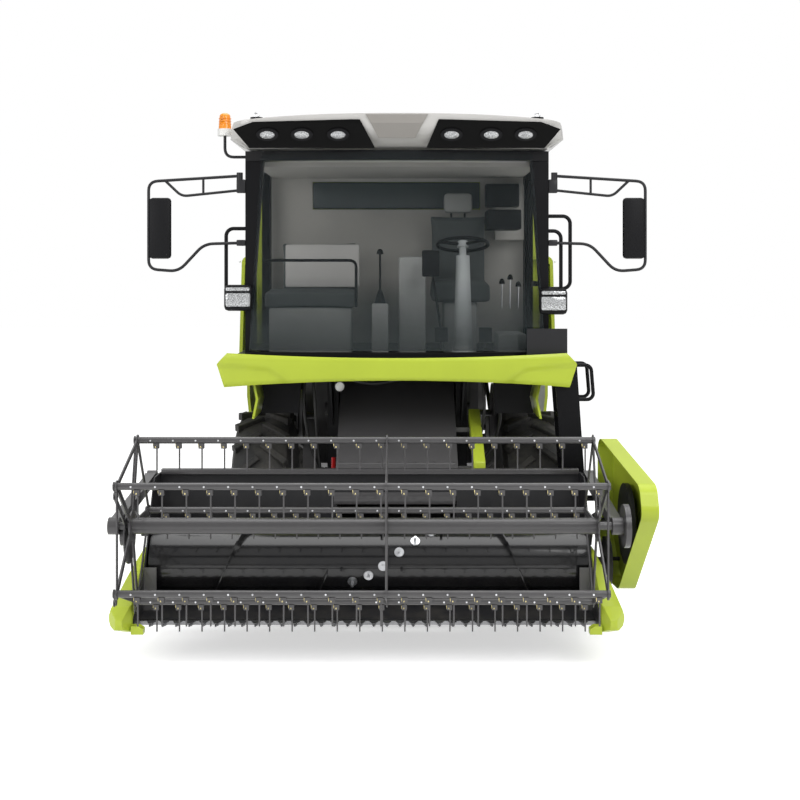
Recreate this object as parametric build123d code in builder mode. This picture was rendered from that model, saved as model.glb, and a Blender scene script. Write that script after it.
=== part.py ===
"""Self-propelled grain combine harvester with a cab and a reel header.

Millimetres. X runs across the machine and +X is its left side, Y runs rearwards, Z is up.
The ground is Z = 0 and the origin is on the ground below the middle of the machine.
"""

import os
from math import asin, atan2, copysign, cos, degrees, hypot, pi, radians, sin, sqrt

from build123d import *

os.makedirs("parts", exist_ok=True)

# ---------------------------------------------------------------- driving dimensions
running_gap = 0.3  # between pieces that touch but move, and beside shafts

# wheels and axles
front_axle_y = -420
wheelbase = 2550
rear_axle_y = front_axle_y + wheelbase
front_tyre_d = 1270
front_tyre_w = 410
front_rim_d = 610
front_wheel_x = 945
rear_tyre_d = 800
rear_tyre_w = 265
rear_rim_d = 390
rear_wheel_x = 860
kingpin_x = 650

# chassis rails
rail_x = 460
rail_w = 80
rail_bottom_z = 640
rail_h = 140
rail_front_y = -520
rail_rear_y = 2900
rail_top_z = rail_bottom_z + rail_h

# threshing body, tank, engine bay and straw hood
body_half_w = 600
body_front_y = -180
body_rear_y = 2560
body_top_z = 1600
deck_z = 1640
panel_x = 1210
panel_t = 25
panel_top_z = 2400
shield_top_z = deck_z - 145
shield_y = (290, 2530)
tank_front_y = 110
tank_rear_y = 1500
tank_left_x = 780
tank_right_x = -1120
tank_top_z = 3050
tank_wall = 20
riser_x = 985
riser_y = 300
riser_r = 130
bay_rear_y = 2540
hood_x = (-1120, 1120)
hood_rear_y = 3080
hood_half_w = 640

# cab and platform
platform_z = 1690
platform_t = 50
platform_half_w = 1150
cab_half_w = 1010
cab_front_y = -1290
cab_rear_y = 40
windscreen_bow = 110
cab_top_z = 3080
roof_half_w = 1090
roof_crown_z = 3327
roof_edge_z = 3225
roof_t = 62

# feeder house
feeder_half_w = 400
feeder_wall = 20
feeder_pivot_y = -440
feeder_pivot_z = 1290
feeder_end_r = 240
trunnion_r = 45
lift_cylinder_base = (-560, 505)
lift_x = 300

# header
header_left_x = 1160
header_right_x = -1500
table_wall = 10
auger_y = -1850
auger_z = 500
auger_flight_r = 255
auger_drum_r = 200
trough_gap = 20
header_top_z = 1000
beam_h = 65
beam_d = 100
knife_tip_y = -2335
knife_z = 235

# reel
reel_y = -2620
reel_z = 864
reel_r = 480
reel_left_x = 1125
reel_right_x = -1475
tine_bar_r = 19
tine_pitch = 127.6
tine_count = 20
tine_length = 170
first_tine_x = -1356
arm_pivot_y = -1515
arm_pivot_z = 968
reel_cylinder_base = (-1640, 640)
crank = (55, -60)  # how far the eccentric ring's centre lies behind and below the reel's centre

trough_r = auger_flight_r + trough_gap
table_back_y = auger_y + trough_r
feeder_front_y = table_back_y + table_wall
header_width = header_left_x - header_right_x
header_mid_x = (header_left_x + header_right_x) / 2


# ---------------------------------------------------------------- helpers
def save(builder, name):
    """Label a finished piece and write it as parts/NAME.step."""
    builder.part.label = name
    export_step(builder.part, f"parts/{name}.step")


def block(x, y, z, mode=Mode.ADD):
    """Add a box between two limits on each axis, each limit pair given as (low, high)."""
    with Locations(((x[0] + x[1]) / 2, (y[0] + y[1]) / 2, (z[0] + z[1]) / 2)):
        Box(x[1] - x[0], y[1] - y[0], z[1] - z[0], mode=mode)


def rod(start, end, diameter, mode=Mode.ADD):
    """Add a round bar from one point to another."""
    run = Vector(*end) - Vector(*start)
    with BuildSketch(Plane(origin=start, z_dir=run)) as face:
        Circle(diameter / 2)
    extrude(face.sketch, amount=run.length, mode=mode)


def bent_tube(points, bend, diameter):
    """Add a round tube along straight runs joined by bends of one radius."""
    with BuildLine() as path:
        FilletPolyline(*points, radius=bend)
    with BuildSketch(path.line ^ 0) as face:
        Circle(diameter / 2)
    sweep(face.sketch, path=path.line)


def side_plate(outline, x, thickness):
    """Add a plate in the YZ plane from X = x to x + thickness, its outline given as (y, z) points."""
    with BuildSketch(Plane.YZ.offset(x)) as face:
        Polygon(*outline, align=None)
    extrude(face.sketch, amount=thickness)


def turned(outline, centre):
    """Add a solid turned about the X axis through centre, its outline given as (x, radius) points."""
    with BuildSketch(Plane(origin=centre, x_dir=(1, 0, 0), z_dir=(0, -1, 0))) as face:
        Polygon(*outline, align=None)
    revolve(face.sketch, axis=Axis(centre, (1, 0, 0)))


def tangent_point(point, centre, radius, side):
    """Where a line from point touches a circle; side is 1 or -1."""
    dy, dz = point[0] - centre[0], point[1] - centre[1]
    distance = hypot(dy, dz)
    angle = atan2(dz, dy) + side * (pi / 2 - asin(radius / distance))
    return centre[0] + radius * cos(angle), centre[1] + radius * sin(angle)


def on_reel(angle):
    """(y, z) of a tine bar at an angle in degrees, measured upwards from straight ahead."""
    return reel_y - reel_r * cos(radians(angle)), reel_z + reel_r * sin(radians(angle))


# ---------------------------------------------------------------- wheels
# name, side, centre y, centre x, tyre diameter, tyre width, rim diameter
wheel_table = (
    ("front_left", 1, front_axle_y, front_wheel_x, front_tyre_d, front_tyre_w, front_rim_d),
    ("front_right", -1, front_axle_y, front_wheel_x, front_tyre_d, front_tyre_w, front_rim_d),
    ("rear_left", 1, rear_axle_y, rear_wheel_x, rear_tyre_d, rear_tyre_w, rear_rim_d),
    ("rear_right", -1, rear_axle_y, rear_wheel_x, rear_tyre_d, rear_tyre_w, rear_rim_d),
)
rim_wall = 10
for name, side, y, x, tyre_d, tyre_w, rim_d in wheel_table:
    centre = (side * x, y, tyre_d / 2)
    bead = tyre_w * 0.36
    rim_r = rim_d / 2
    tyre_r = tyre_d / 2
    bulge_r = (rim_r + tyre_r) / 2
    with BuildPart() as tyre:
        with BuildSketch(Plane(origin=centre, x_dir=(1, 0, 0), z_dir=(0, -1, 0))):
            with BuildLine():
                Line((-bead, rim_r), (bead, rim_r))
                Line((bead, rim_r), (bead, rim_r + 22))
                ThreePointArc((bead, rim_r + 22), (tyre_w / 2, bulge_r), (tyre_w * 0.44, tyre_r - 30))
                Line((tyre_w * 0.44, tyre_r - 30), (tyre_w * 0.4, tyre_r - 8))
                ThreePointArc((tyre_w * 0.4, tyre_r - 8), (0, tyre_r), (-tyre_w * 0.4, tyre_r - 8))
                Line((-tyre_w * 0.4, tyre_r - 8), (-tyre_w * 0.44, tyre_r - 30))
                ThreePointArc((-tyre_w * 0.44, tyre_r - 30), (-tyre_w / 2, bulge_r), (-bead, rim_r + 22))
                Line((-bead, rim_r + 22), (-bead, rim_r))
            make_face()
        revolve(axis=Axis(centre, (1, 0, 0)))
    save(tyre, f"tyre_{name}")

    disc = side * tyre_w * 0.08
    edge = bead + rim_wall
    with BuildPart() as rim:
        turned(((-edge, rim_r), (-edge, rim_r - rim_wall), (edge, rim_r - rim_wall), (edge, rim_r)), centre)
        for end in (-1, 1):
            lip = sorted((end * bead, end * edge))
            turned(((lip[0], rim_r - rim_wall), (lip[1], rim_r - rim_wall),
                        (lip[1], rim_r + 18), (lip[0], rim_r + 18)), centre)
        turned(((disc, 0), (disc, rim_r * 0.5), (disc + side * 45, rim_r - 4),
                    (disc + side * 62, rim_r - 4), (disc + side * 18, rim_r * 0.5), (disc + side * 18, 0)), centre)
        turned(((disc - side * 20, 0), (disc - side * 20, rim_r * 0.36), (disc + side * 45, rim_r * 0.34),
                    (disc + side * 45, 0)), centre)
    save(rim, f"rim_{name}")
front_hub_x = front_wheel_x + front_tyre_w * 0.08 - 20
rear_hub_x = rear_wheel_x + rear_tyre_w * 0.08 - 20

# ---------------------------------------------------------------- axles and steering
with BuildPart() as front_axle:
    axle_z = front_tyre_d / 2
    block((-640, 640), (front_axle_y - 85, front_axle_y + 85), (axle_z - 95, axle_z - 95 + 99))
    block((-230, 190), (front_axle_y - 170, front_axle_y + 240), (axle_z - 200, axle_z + 60))
    for side in (-1, 1):
        rod((side * 560, front_axle_y, axle_z), (side * 730, front_axle_y, axle_z), 330)
        rod((side * 700, front_axle_y, axle_z), (side * (front_hub_x - running_gap), front_axle_y, axle_z), 170)
        block((side * rail_x - rail_w / 2, side * rail_x + rail_w / 2),
                  (front_axle_y - 80, front_axle_y + 80), (axle_z - 60, rail_bottom_z))
        # lugs of the feeder house's lift cylinders
        inner, outer = sorted((side * (lift_x - 50), side * (lift_x - 27 - running_gap)))
        side_plate(((-580, 480), (-580, 530), (front_axle_y - 85, 610), (front_axle_y - 85, 545), (-535, 480)),
                   inner, outer - inner)
save(front_axle, "front_axle")

rear_beam_z = 430
kingpin_h = 200
with BuildPart() as rear_axle:
    block((-kingpin_x, kingpin_x), (rear_axle_y - 55, rear_axle_y + 55), (rear_beam_z - 60, rear_beam_z + 60))
    block((-130, 130), (rear_axle_y - 75, rear_axle_y + 75), (rear_beam_z, rail_bottom_z - 60))
    block((-rail_x - rail_w / 2, rail_x + rail_w / 2), (rear_axle_y - 75, rear_axle_y + 75),
              (rail_bottom_z - 70, rail_bottom_z))
    for side in (-1, 1):
        rod((side * kingpin_x, rear_axle_y, rear_beam_z - kingpin_h / 2),
                (side * kingpin_x, rear_axle_y, rear_beam_z + kingpin_h / 2), 84)
save(rear_axle, "rear_axle")

ear_t = 28
steer_arm_y = 210
steer_arm_z = rear_beam_z - kingpin_h / 2 - running_gap - ear_t / 2
tie_rod_d = 34
tie_rod_z = steer_arm_z - ear_t / 2 - running_gap - tie_rod_d / 2
for name, side in (("left", 1), ("right", -1)):
    with BuildPart() as knuckle:
        for z in (rear_beam_z - kingpin_h / 2 - ear_t - running_gap, rear_beam_z + kingpin_h / 2 + running_gap):
            inner, outer = sorted((side * (kingpin_x - 42), side * (kingpin_x + 92)))
            block((inner, outer), (rear_axle_y - 45, rear_axle_y + 45), (z, z + ear_t))
        inner, outer = sorted((side * (kingpin_x + 52), side * (kingpin_x + 92)))
        block((inner, outer), (rear_axle_y - 45, rear_axle_y + 45),
                  (rear_beam_z - kingpin_h / 2 - ear_t, rear_beam_z + kingpin_h / 2 + ear_t))
        rod((side * (kingpin_x + 70), rear_axle_y, rear_tyre_d / 2),
                (side * (rear_hub_x - running_gap), rear_axle_y, rear_tyre_d / 2), 76)
        inner, outer = sorted((side * (kingpin_x - 42), side * kingpin_x))
        block((inner, outer), (rear_axle_y, rear_axle_y + steer_arm_y + 25),
                  (steer_arm_z - ear_t / 2, steer_arm_z + ear_t / 2))
    save(knuckle, f"knuckle_{name}")

with BuildPart() as tie_rod:
    eye_x = kingpin_x - 21
    rod((-eye_x, rear_axle_y + steer_arm_y, tie_rod_z), (eye_x, rear_axle_y + steer_arm_y, tie_rod_z),
            tie_rod_d)
save(tie_rod, "tie_rod")

# ---------------------------------------------------------------- chassis frame
cross_table = (-150, 900, 2560)  # y of each cross member
cross_d = 100
post_top_z = platform_z - platform_t - 80
hitch_y = rail_rear_y + 60 + 60
hitch_z = rail_bottom_z + rail_h / 2
hitch_pin_r = 16.5
with BuildPart() as chassis_frame:
    for side in (-1, 1):
        rail = (side * rail_x - rail_w / 2, side * rail_x + rail_w / 2)
        block(rail, (rail_front_y, rail_rear_y), (rail_bottom_z, rail_top_z))
        for y in (rail_front_y, -300):
            block(rail, (y, y + 80), (rail_top_z, post_top_z))
        block(rail, (-1330, body_front_y), (post_top_z, platform_z - platform_t))
        side_plate(((rail_front_y, 1180), (rail_front_y, 1560), (-980, 1560)),
                       side * rail_x - 6, 12)
        block(rail, (rail_front_y, -220), (1190, 1390))
    for y in cross_table:
        block((-rail_x, rail_x), (y, y + cross_d), (rail_bottom_z + 20, rail_top_z - 20))
    block((-rail_x - 40, rail_x + 40), (rail_rear_y, rail_rear_y + 60), (rail_bottom_z, rail_top_z))
    # bearings of the feeder house's trunnions
    with BuildSketch(Plane.YZ.offset(-rail_x - rail_w)):
        with Locations((feeder_pivot_y, feeder_pivot_z)):
            Circle(trunnion_r + running_gap)
    extrude(amount=2 * (rail_x + rail_w), mode=Mode.SUBTRACT)
    # tow hitch: two ears with an upright pin hole behind the rear cross member
    for z in (hitch_z - 45, hitch_z + 25):
        with BuildSketch(Plane.XY.offset(z)):
            with Locations((0, hitch_y - 30)):
                Rectangle(90, 70)
            with Locations((0, hitch_y)):
                Circle(45)
                Circle(hitch_pin_r, mode=Mode.SUBTRACT)
        extrude(amount=20)
save(chassis_frame, "chassis_frame")

# ---------------------------------------------------------------- threshing body
body_outline = (
    (body_front_y, 860), (150, rail_top_z), (body_rear_y, rail_top_z),
    (body_rear_y, body_top_z), (body_front_y, body_top_z),
)
with BuildPart() as thresher_body:
    side_plate(body_outline, -body_half_w, 2 * body_half_w)
    # clean grain elevator up the right side into the tank
    block((-body_half_w - 160, -body_half_w), (620, 880), (620, deck_z))
    # returns elevator on the left side
    side_plate(((1500, 700), (1700, 700), (1150, 1560), (950, 1560)), body_half_w, 130)
save(thresher_body, "thresher_body")

# pulleys and belts on the threshing body's sides: side, y, z, radius, width
pulley_table = (
    (1, 330, 1180, 230, 60), (1, 1050, 980, 110, 60), (1, 2150, 1250, 260, 60),
    (-1, 390, 1150, 205, 60), (-1, 1250, 900, 120, 60),
)
with BuildPart() as belt_drives:
    for side, y, z, radius, width in pulley_table:
        start = side * (body_half_w + 135 + running_gap)
        shaft = side * (body_half_w + running_gap)
        rod((shaft, y, z), (start + side * width, y, z), 50)
        rod((start, y, z), (start + side * width, y, z), 2 * radius)
    # straw chopper rotor inside the straw hood
    rod((-hood_half_w + tank_wall + running_gap, 2830, 1060), (hood_half_w - tank_wall - running_gap, 2830, 1060), 220)
    for step in range(12):
        x = -580 + step * 1160 / 11
        block((x - 4, x + 4), (2815, 2845), (880, 1240))
save(belt_drives, "belt_drives")

# ---------------------------------------------------------------- grain tank
tank_x = (tank_right_x, tank_left_x)
tank_mid = (tank_x[0] + tank_x[1]) / 2
flare = 40
with BuildPart() as grain_tank:
    lower = (tank_x[1] - tank_x[0] - 2 * flare, tank_rear_y - tank_front_y - 2 * flare)
    upper = (tank_x[1] - tank_x[0], tank_rear_y - tank_front_y)
    middle_y = (tank_front_y + tank_rear_y) / 2
    block((tank_mid - lower[0] / 2, tank_mid + lower[0] / 2),
              (middle_y - lower[1] / 2, middle_y + lower[1] / 2), (deck_z, panel_top_z))
    with BuildSketch(Plane.XY.offset(panel_top_z)):
        with Locations((tank_mid, middle_y)):
            Rectangle(*lower)
    with BuildSketch(Plane.XY.offset(tank_top_z)):
        with Locations((tank_mid, middle_y)):
            Rectangle(*upper)
    loft(ruled=True)
    offset(amount=-tank_wall, openings=grain_tank.faces().sort_by(Axis.Z)[-1:], kind=Kind.INTERSECTION)
save(grain_tank, "grain_tank")

# ---------------------------------------------------------------- upper body panels
with BuildPart() as side_bodies:
    for side in (-1, 1):
        inner_x = tank_left_x if side == 1 else -tank_right_x
        with BuildSketch(Plane.XZ.offset(-cab_rear_y - 60)):
            with BuildLine():
                Polyline((side * (panel_x - 30), deck_z - 130), (side * panel_x, deck_z),
                         (side * (panel_x - 20), panel_top_z - 60))
                ThreePointArc((side * (panel_x - 20), panel_top_z - 60), (side * (panel_x - 33), panel_top_z - 17),
                              (side * (panel_x - 70), panel_top_z))
                Polyline((side * (panel_x - 70), panel_top_z), (side * (inner_x + running_gap), panel_top_z),
                         (side * (inner_x + running_gap), panel_top_z - panel_t),
                         (side * (panel_x - 75), panel_top_z - panel_t),
                         (side * (panel_x - 45), panel_top_z - 65), (side * (panel_x - panel_t), deck_z),
                         (side * (panel_x - 30 - panel_t), deck_z - 130),
                         (side * (panel_x - 30), deck_z - 130))
            make_face()
        extrude(amount=-(bay_rear_y - cab_rear_y - 60))
        # floor brackets tie each panel to the threshing body
        for y in (300, 1300, 2300):
            block(sorted((side * body_half_w, side * (panel_x - panel_t))), (y, y + 60),
                      (body_top_z, body_top_z + 40))
        # hinge lugs at both ends of each lower shield
        for y in (shield_y[0] - 10 - running_gap, shield_y[1] + running_gap):
            block(sorted((side * (panel_x - 60), side * (panel_x - 38))), (y, y + 9), (shield_top_z - 15, deck_z - 100))
    with BuildSketch(Plane.XY.offset(deck_z + 100)):
        with Locations((riser_x, riser_y)):
            Circle(riser_r + 12)
    extrude(amount=panel_top_z, mode=Mode.SUBTRACT)
    # the engine hood takes the place of the top sheet behind the tank
    block((tank_left_x - 50, hood_x[1] + running_gap), (1560 - running_gap, bay_rear_y + 10),
          (panel_top_z - panel_t - 10, panel_top_z + 10), mode=Mode.SUBTRACT)
save(side_bodies, "side_bodies")

# ---------------------------------------------------------------- engine and its hood
engine_x, engine_y, engine_z = (-560, 260), (1720, 2360), (body_top_z, 2330)
with BuildPart() as engine:
    block(engine_x, engine_y, engine_z)
    bent_tube(((0, 2200, 2330 - 60), (0, 2200, 2900), (0, 2290, 3020)), 60, 110)
    rod((-400, 1850, 2330 - 20), (-400, 1850, 2780), 130)
    rod((-400, 1850, 2780), (-400, 1850, 2920), 260)
    # rotary screen of the radiator and its drive shaft
    rod((hood_x[0] - 38, 2050, 2050), (hood_x[0] + 15, 2050, 2050), 480)
    rod((hood_x[0] + 15, 2050, 2050), (engine_x[0], 2050, 2050), 60)
save(engine, "engine")

hood_top_z = 2480
with BuildPart() as engine_hood:
    block(hood_x, (1560, bay_rear_y), (deck_z, hood_top_z))
    fillet(engine_hood.edges().filter_by(Axis.Y).sort_by(Axis.Z)[-2:], 60)
    offset(amount=-tank_wall, openings=engine_hood.faces().sort_by(Axis.Z)[:1], kind=Kind.INTERSECTION)
    # round radiator intake in the right wall, exhaust and air intake holes in the top
    with BuildSketch(Plane.YZ.offset(hood_x[0] - 10)):
        with Locations((2050, 2050)):
            Circle(252)
    extrude(amount=60, mode=Mode.SUBTRACT)
    with BuildSketch(Plane.XY.offset(hood_top_z - 60)):
        with Locations((0, 2200)):
            Circle(75)
        with Locations((-400, 1850)):
            Circle(85)
    extrude(amount=100, mode=Mode.SUBTRACT)
save(engine_hood, "engine_hood")

# ---------------------------------------------------------------- straw hood
with BuildPart() as straw_hood:
    with BuildSketch(Plane.YZ.offset(-hood_half_w)):
        Polygon((body_rear_y + running_gap, 900), (body_rear_y + running_gap, 1760), (2700, 1800),
                (hood_rear_y - 110, 1700), (hood_rear_y, 1150), (hood_rear_y - 60, 900), align=None)
    extrude(amount=2 * hood_half_w)
    offset(amount=-tank_wall, openings=straw_hood.faces().sort_by(Axis.Z)[:1], kind=Kind.INTERSECTION)
    block((-hood_half_w + 10, hood_half_w - 10), (2700, 2710), (820, 905))
save(straw_hood, "straw_hood")

with BuildPart() as fuel_tank:
    block((-1040, -body_half_w - 20), (1700, 2450), (1000, 1480))
    fillet(fuel_tank.edges().filter_by(Axis.Y), 60)
    block((-body_half_w - 30, -body_half_w), (1760, 2400), (1150, 1250))
save(fuel_tank, "fuel_tank")

# ---------------------------------------------------------------- side shields
for name, side in (("left", 1), ("right", -1)):
    with BuildPart() as side_shield:
        with BuildSketch(Plane.XZ.offset(-shield_y[0])):
            Polygon((side * 1172, shield_top_z), (side * 1172, shield_top_z - 180), (side * 1140, 1010),
                    (side * 1118, 1010), (side * 1150, shield_top_z - 180), (side * 1150, shield_top_z), align=None)
        extrude(amount=-(shield_y[1] - shield_y[0]))
    save(side_shield, f"side_shield_{name}")

# ---------------------------------------------------------------- unloading auger
tube_z = 2730
tube_r = 120
riser_top_z = 2590
with BuildPart() as unloader_riser:
    rod((riser_x, riser_y, body_top_z + 60), (riser_x, riser_y, riser_top_z), 2 * riser_r)
    block((tank_left_x - flare, riser_x), (riser_y - 60, riser_y + 60), (body_top_z + 90, body_top_z + 250))
save(unloader_riser, "unloader_riser")
with BuildPart() as unloader_tube:
    rod((riser_x, riser_y, riser_top_z + running_gap), (riser_x, riser_y, riser_top_z + 30), 2 * riser_r + 30)
    rod((riser_x, riser_y, riser_top_z + 20), (riser_x, riser_y, tube_z + tube_r), 2 * riser_r)
    rod((riser_x, riser_y - 100, tube_z), (riser_x, 2960, tube_z), 2 * tube_r)
    block((riser_x - 110, riser_x + 110), (2760, 3000), (tube_z - 260, tube_z + 60))
save(unloader_tube, "unloader_tube")

# ---------------------------------------------------------------- cab platform, bumper and ladder
bumper_half_w = 1180
with BuildPart() as cab_platform:
    block((-platform_half_w, platform_half_w), (-1330, 60), (platform_z - platform_t, platform_z))
    block((850, 1115), (-1330, -1322), (platform_z, 1905))
save(cab_platform, "cab_platform")

bumper_front = (
    (-bumper_half_w, 1754), (-750, 1735), (0, 1715), (750, 1735), (bumper_half_w, 1754),
    (bumper_half_w, 1555), (1140, 1526), (800, 1530), (720, 1565),
    (-720, 1565), (-800, 1530), (-1140, 1526), (-bumper_half_w, 1555),
)
with BuildPart() as bumper:
    with BuildSketch(Plane.XZ.offset(1330)):
        Polygon(*bumper_front, align=None)
    extrude(amount=200)
    with BuildSketch(Plane.XY.offset(1500)):
        with BuildLine():
            Polyline((bumper_half_w, -1370), (bumper_half_w, -1330), (-bumper_half_w, -1330), (-bumper_half_w, -1370))
            ThreePointArc((-bumper_half_w, -1370), (0, -1490), (bumper_half_w, -1370))
        make_face()
    extrude(amount=300, mode=Mode.INTERSECT)
    # fender panels hang from the platform over the front tyres
    for side in (-1, 1):
        block(sorted((side * 930, side * 955)), (-1300, -150), (1310, platform_z - platform_t))
save(bumper, "bumper")

ladder_front_y, ladder_rear_y = -1325, -1090
step_table = (520, 790, 1060, 1330)  # z of each step
ladder_out = ((1030, 1640), (1180, 1640), (1262, 450), (1120, 450))
with BuildPart() as ladder_and_rails:
    for y in (ladder_front_y, ladder_rear_y - 8):
        with BuildSketch(Plane.XZ.offset(-y - 8)):
            Polygon(*ladder_out, align=None)
        extrude(amount=8)
    for z in step_table:
        lean = (1640 - z) * 0.07
        block((1040 + lean, 1170 + lean), (ladder_front_y, ladder_rear_y), (z - 12, z + 12))
    for y in (ladder_front_y + 15, ladder_rear_y - 15):
        bent_tube(((1170, y, 1665), (1272, y, 1665), (1290, y, 1440), (1190, y, 1440)), 40, 24)
    block((platform_half_w, 1180), (ladder_front_y, ladder_rear_y), (1630, 1684))
    # grab rails beside the windscreen
    for side, reach, low, high, y in ((-1, 1145, 2030, 2567, -1122), (1, 1160, 2165, 2650, -1122),
                                      (1, 1095, 2080, 2550, -1148)):
        bent_tube(((side * cab_half_w, y, high), (side * reach, y, high), (side * reach, y, low),
                   (side * cab_half_w, y, low)), 50, 25)
save(ladder_and_rails, "ladder_and_rails")

# ---------------------------------------------------------------- cab
sill_top_z = 1745
header_rail_z = 3015
pillar_y = -1180  # front face of the pillars beside the windscreen
door_front_y, door_rear_y = -1095, -135 - running_gap
screen_arc = ((-cab_half_w, pillar_y), (0, pillar_y - windscreen_bow), (cab_half_w, pillar_y))
with BuildPart() as cab_frame:
    for low, high in ((platform_z, sill_top_z), (header_rail_z, cab_top_z)):
        with BuildSketch(Plane.XY.offset(low)):
            with BuildLine():
                ThreePointArc(*screen_arc)
                Polyline((cab_half_w, pillar_y), (cab_half_w, cab_rear_y), (-cab_half_w, cab_rear_y),
                         (-cab_half_w, pillar_y))
            make_face()
            offset(amount=-70, mode=Mode.SUBTRACT, kind=Kind.INTERSECTION)
        extrude(amount=high - low)
    for side in (-1, 1):
        with BuildSketch(Plane.XZ.offset(-pillar_y - 70)):
            Polygon((side * 978, sill_top_z), (side * cab_half_w, sill_top_z), (side * cab_half_w, header_rail_z),
                    (side * 888, header_rail_z), align=None)
        extrude(amount=70)
        outer = sorted((side * (cab_half_w - 60), side * cab_half_w))
        for y in (-135, cab_rear_y - 60):
            block(outer, (y, y + 60), (sill_top_z, header_rail_z))
save(cab_frame, "cab_frame")

glass_t = 6
screen_z = (sill_top_z + 10, 3070)
with BuildPart() as cab_glass:
    with BuildSketch(Plane.XY.offset(screen_z[0])):
        with BuildLine():
            ThreePointArc((-1000, pillar_y - 8), (0, pillar_y - windscreen_bow - 8), (1000, pillar_y - 8))
            Line((1000, pillar_y - 8), (1000, pillar_y - 8 + glass_t))
            ThreePointArc((1000, pillar_y - 8 + glass_t), (0, pillar_y - windscreen_bow - 8 + glass_t),
                          (-1000, pillar_y - 8 + glass_t))
            Line((-1000, pillar_y - 8 + glass_t), (-1000, pillar_y - 8))
        make_face()
    extrude(amount=screen_z[1] - screen_z[0])
    with BuildSketch(Plane.XZ.offset(1000)):
        Polygon((-985, screen_z[0]), (985, screen_z[0]), (900, screen_z[1]), (-900, screen_z[1]), align=None)
    extrude(amount=500, mode=Mode.INTERSECT)
    # fixed right side window and the slot window behind the seats
    block((-cab_half_w + 10, -cab_half_w + 10 + glass_t), (pillar_y + 70, -135), (sill_top_z, header_rail_z))
    block((-650, 636), (5, 5 + glass_t), (2740, 2970))
save(cab_glass, "cab_glass")

with BuildPart() as cab_lining:
    block((-950, 950), (-20, 5), (sill_top_z, header_rail_z - 5))
    block((-640, 626), (-30, 20), (2750, 2960), mode=Mode.SUBTRACT)
    block((-938, 938), (-1085, -20), (header_rail_z - 30, header_rail_z))
    block((730, 945), (-140, -20), (2520, 2930))
save(cab_lining, "cab_lining")

roof_front_y, roof_rear_y = -1425, 150
with BuildPart() as cab_roof:
    with BuildSketch(Plane.XZ.offset(-roof_rear_y)):
        with BuildLine():
            Line((-roof_half_w + 40, cab_top_z), (roof_half_w - 40, cab_top_z))
            Line((roof_half_w - 40, cab_top_z), (roof_half_w, cab_top_z + 45))
            ThreePointArc((roof_half_w, cab_top_z + 45), (roof_half_w - 14, cab_top_z + 105), (roof_half_w - 65, roof_edge_z))
            ThreePointArc((roof_half_w - 65, roof_edge_z), (0, roof_crown_z), (-roof_half_w + 65, roof_edge_z))
            ThreePointArc((-roof_half_w + 65, roof_edge_z), (-roof_half_w + 14, cab_top_z + 105),
                          (-roof_half_w, cab_top_z + 45))
            Line((-roof_half_w, cab_top_z + 45), (-roof_half_w + 40, cab_top_z))
        make_face()
    extrude(amount=roof_rear_y - roof_front_y)
    # the front leans back to its foot
    with BuildSketch(Plane.YZ.offset(-roof_half_w)):
        Polygon((roof_front_y - 10, cab_top_z - 10), (roof_front_y + 80, cab_top_z - 10),
                (roof_front_y - 10, roof_crown_z - 70), align=None)
    extrude(amount=2 * roof_half_w, mode=Mode.SUBTRACT)
    for x in (-930, 930):
        rod((x, -1150, roof_edge_z), (x, -1150, roof_edge_z + 70), 22)
        rod((x, -1150, roof_edge_z + 62), (x, -1150, roof_edge_z + 70), 60)
save(cab_roof, "cab_roof")

# black visor across the roof's front, with the lamps on its face
visor_t = 14
visor_back = ((roof_front_y + 72.5, cab_top_z + 4), (roof_front_y - 0.5, 3236), (roof_front_y - 0.5, 3262))
visor_face = tuple((y - visor_t, z) for y, z in reversed(visor_back))
with BuildPart() as roof_visor:
    with BuildSketch(Plane.YZ.offset(-roof_half_w)):
        Polygon(*visor_back, *visor_face, align=None)
    extrude(amount=2 * roof_half_w)
    with BuildSketch(Plane.XZ.offset(1200)):
        Polygon((-960, cab_top_z), (-1060, 3200), (-930, 3245), (-300, 3262), (-240, 3262), (-140, cab_top_z),
                align=None)
        Polygon((960, cab_top_z), (1060, 3200), (930, 3245), (300, 3262), (270, 3262), (190, cab_top_z), align=None)
    extrude(amount=400, mode=Mode.INTERSECT)
save(roof_visor, "roof_visor")

# ---------------------------------------------------------------- seats and controls
seat_z, bench_z = 2080, 2040
with BuildPart() as cab_seats:
    block((230, 670), (-640, -200), (seat_z, seat_z + 120))
    block((240, 660), (-250, -130), (seat_z + 120 + running_gap, 2700))
    block((-940, -280), (-760, -330), (bench_z, bench_z + 100))
    block((-850, -290), (-330, -290), (bench_z + 100 + running_gap, 2500))
save(cab_seats, "cab_seats")
with BuildPart() as cab_controls:
    block((330, 570), (-560, -300), (platform_z, seat_z - running_gap))
    block((-900, -320), (-720, -370), (platform_z, bench_z - running_gap))
    block((390, 520), (-960, -830), (platform_z, platform_z + 50))
    rod((455, -900, platform_z + 30), (455, -830, 2470), 90)
    rod((455, -832, 2470), (455, -826, 2510), 380)
    block((-175, -60), (-900, -760), (platform_z, 2097))
    rod((-118, -830, 2090), (-118, -830, 2440), 16)
    block((10, 200), (-780, -420), (platform_z, 2390))
    block((290, 330), (-980, -940), (platform_z, platform_z + 16))
    rod((310, -960, platform_z + 8), (250, -960, 2260), 18)
    block((165, 295), (-985, -955), (2235, 2440))
    for x in (760, 840):
        rod((x, -700, platform_z), (x, -700, 2150), 14)
    block((700, 900), (-800, -400), (platform_z, 1850))
save(cab_controls, "cab_controls")

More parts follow.
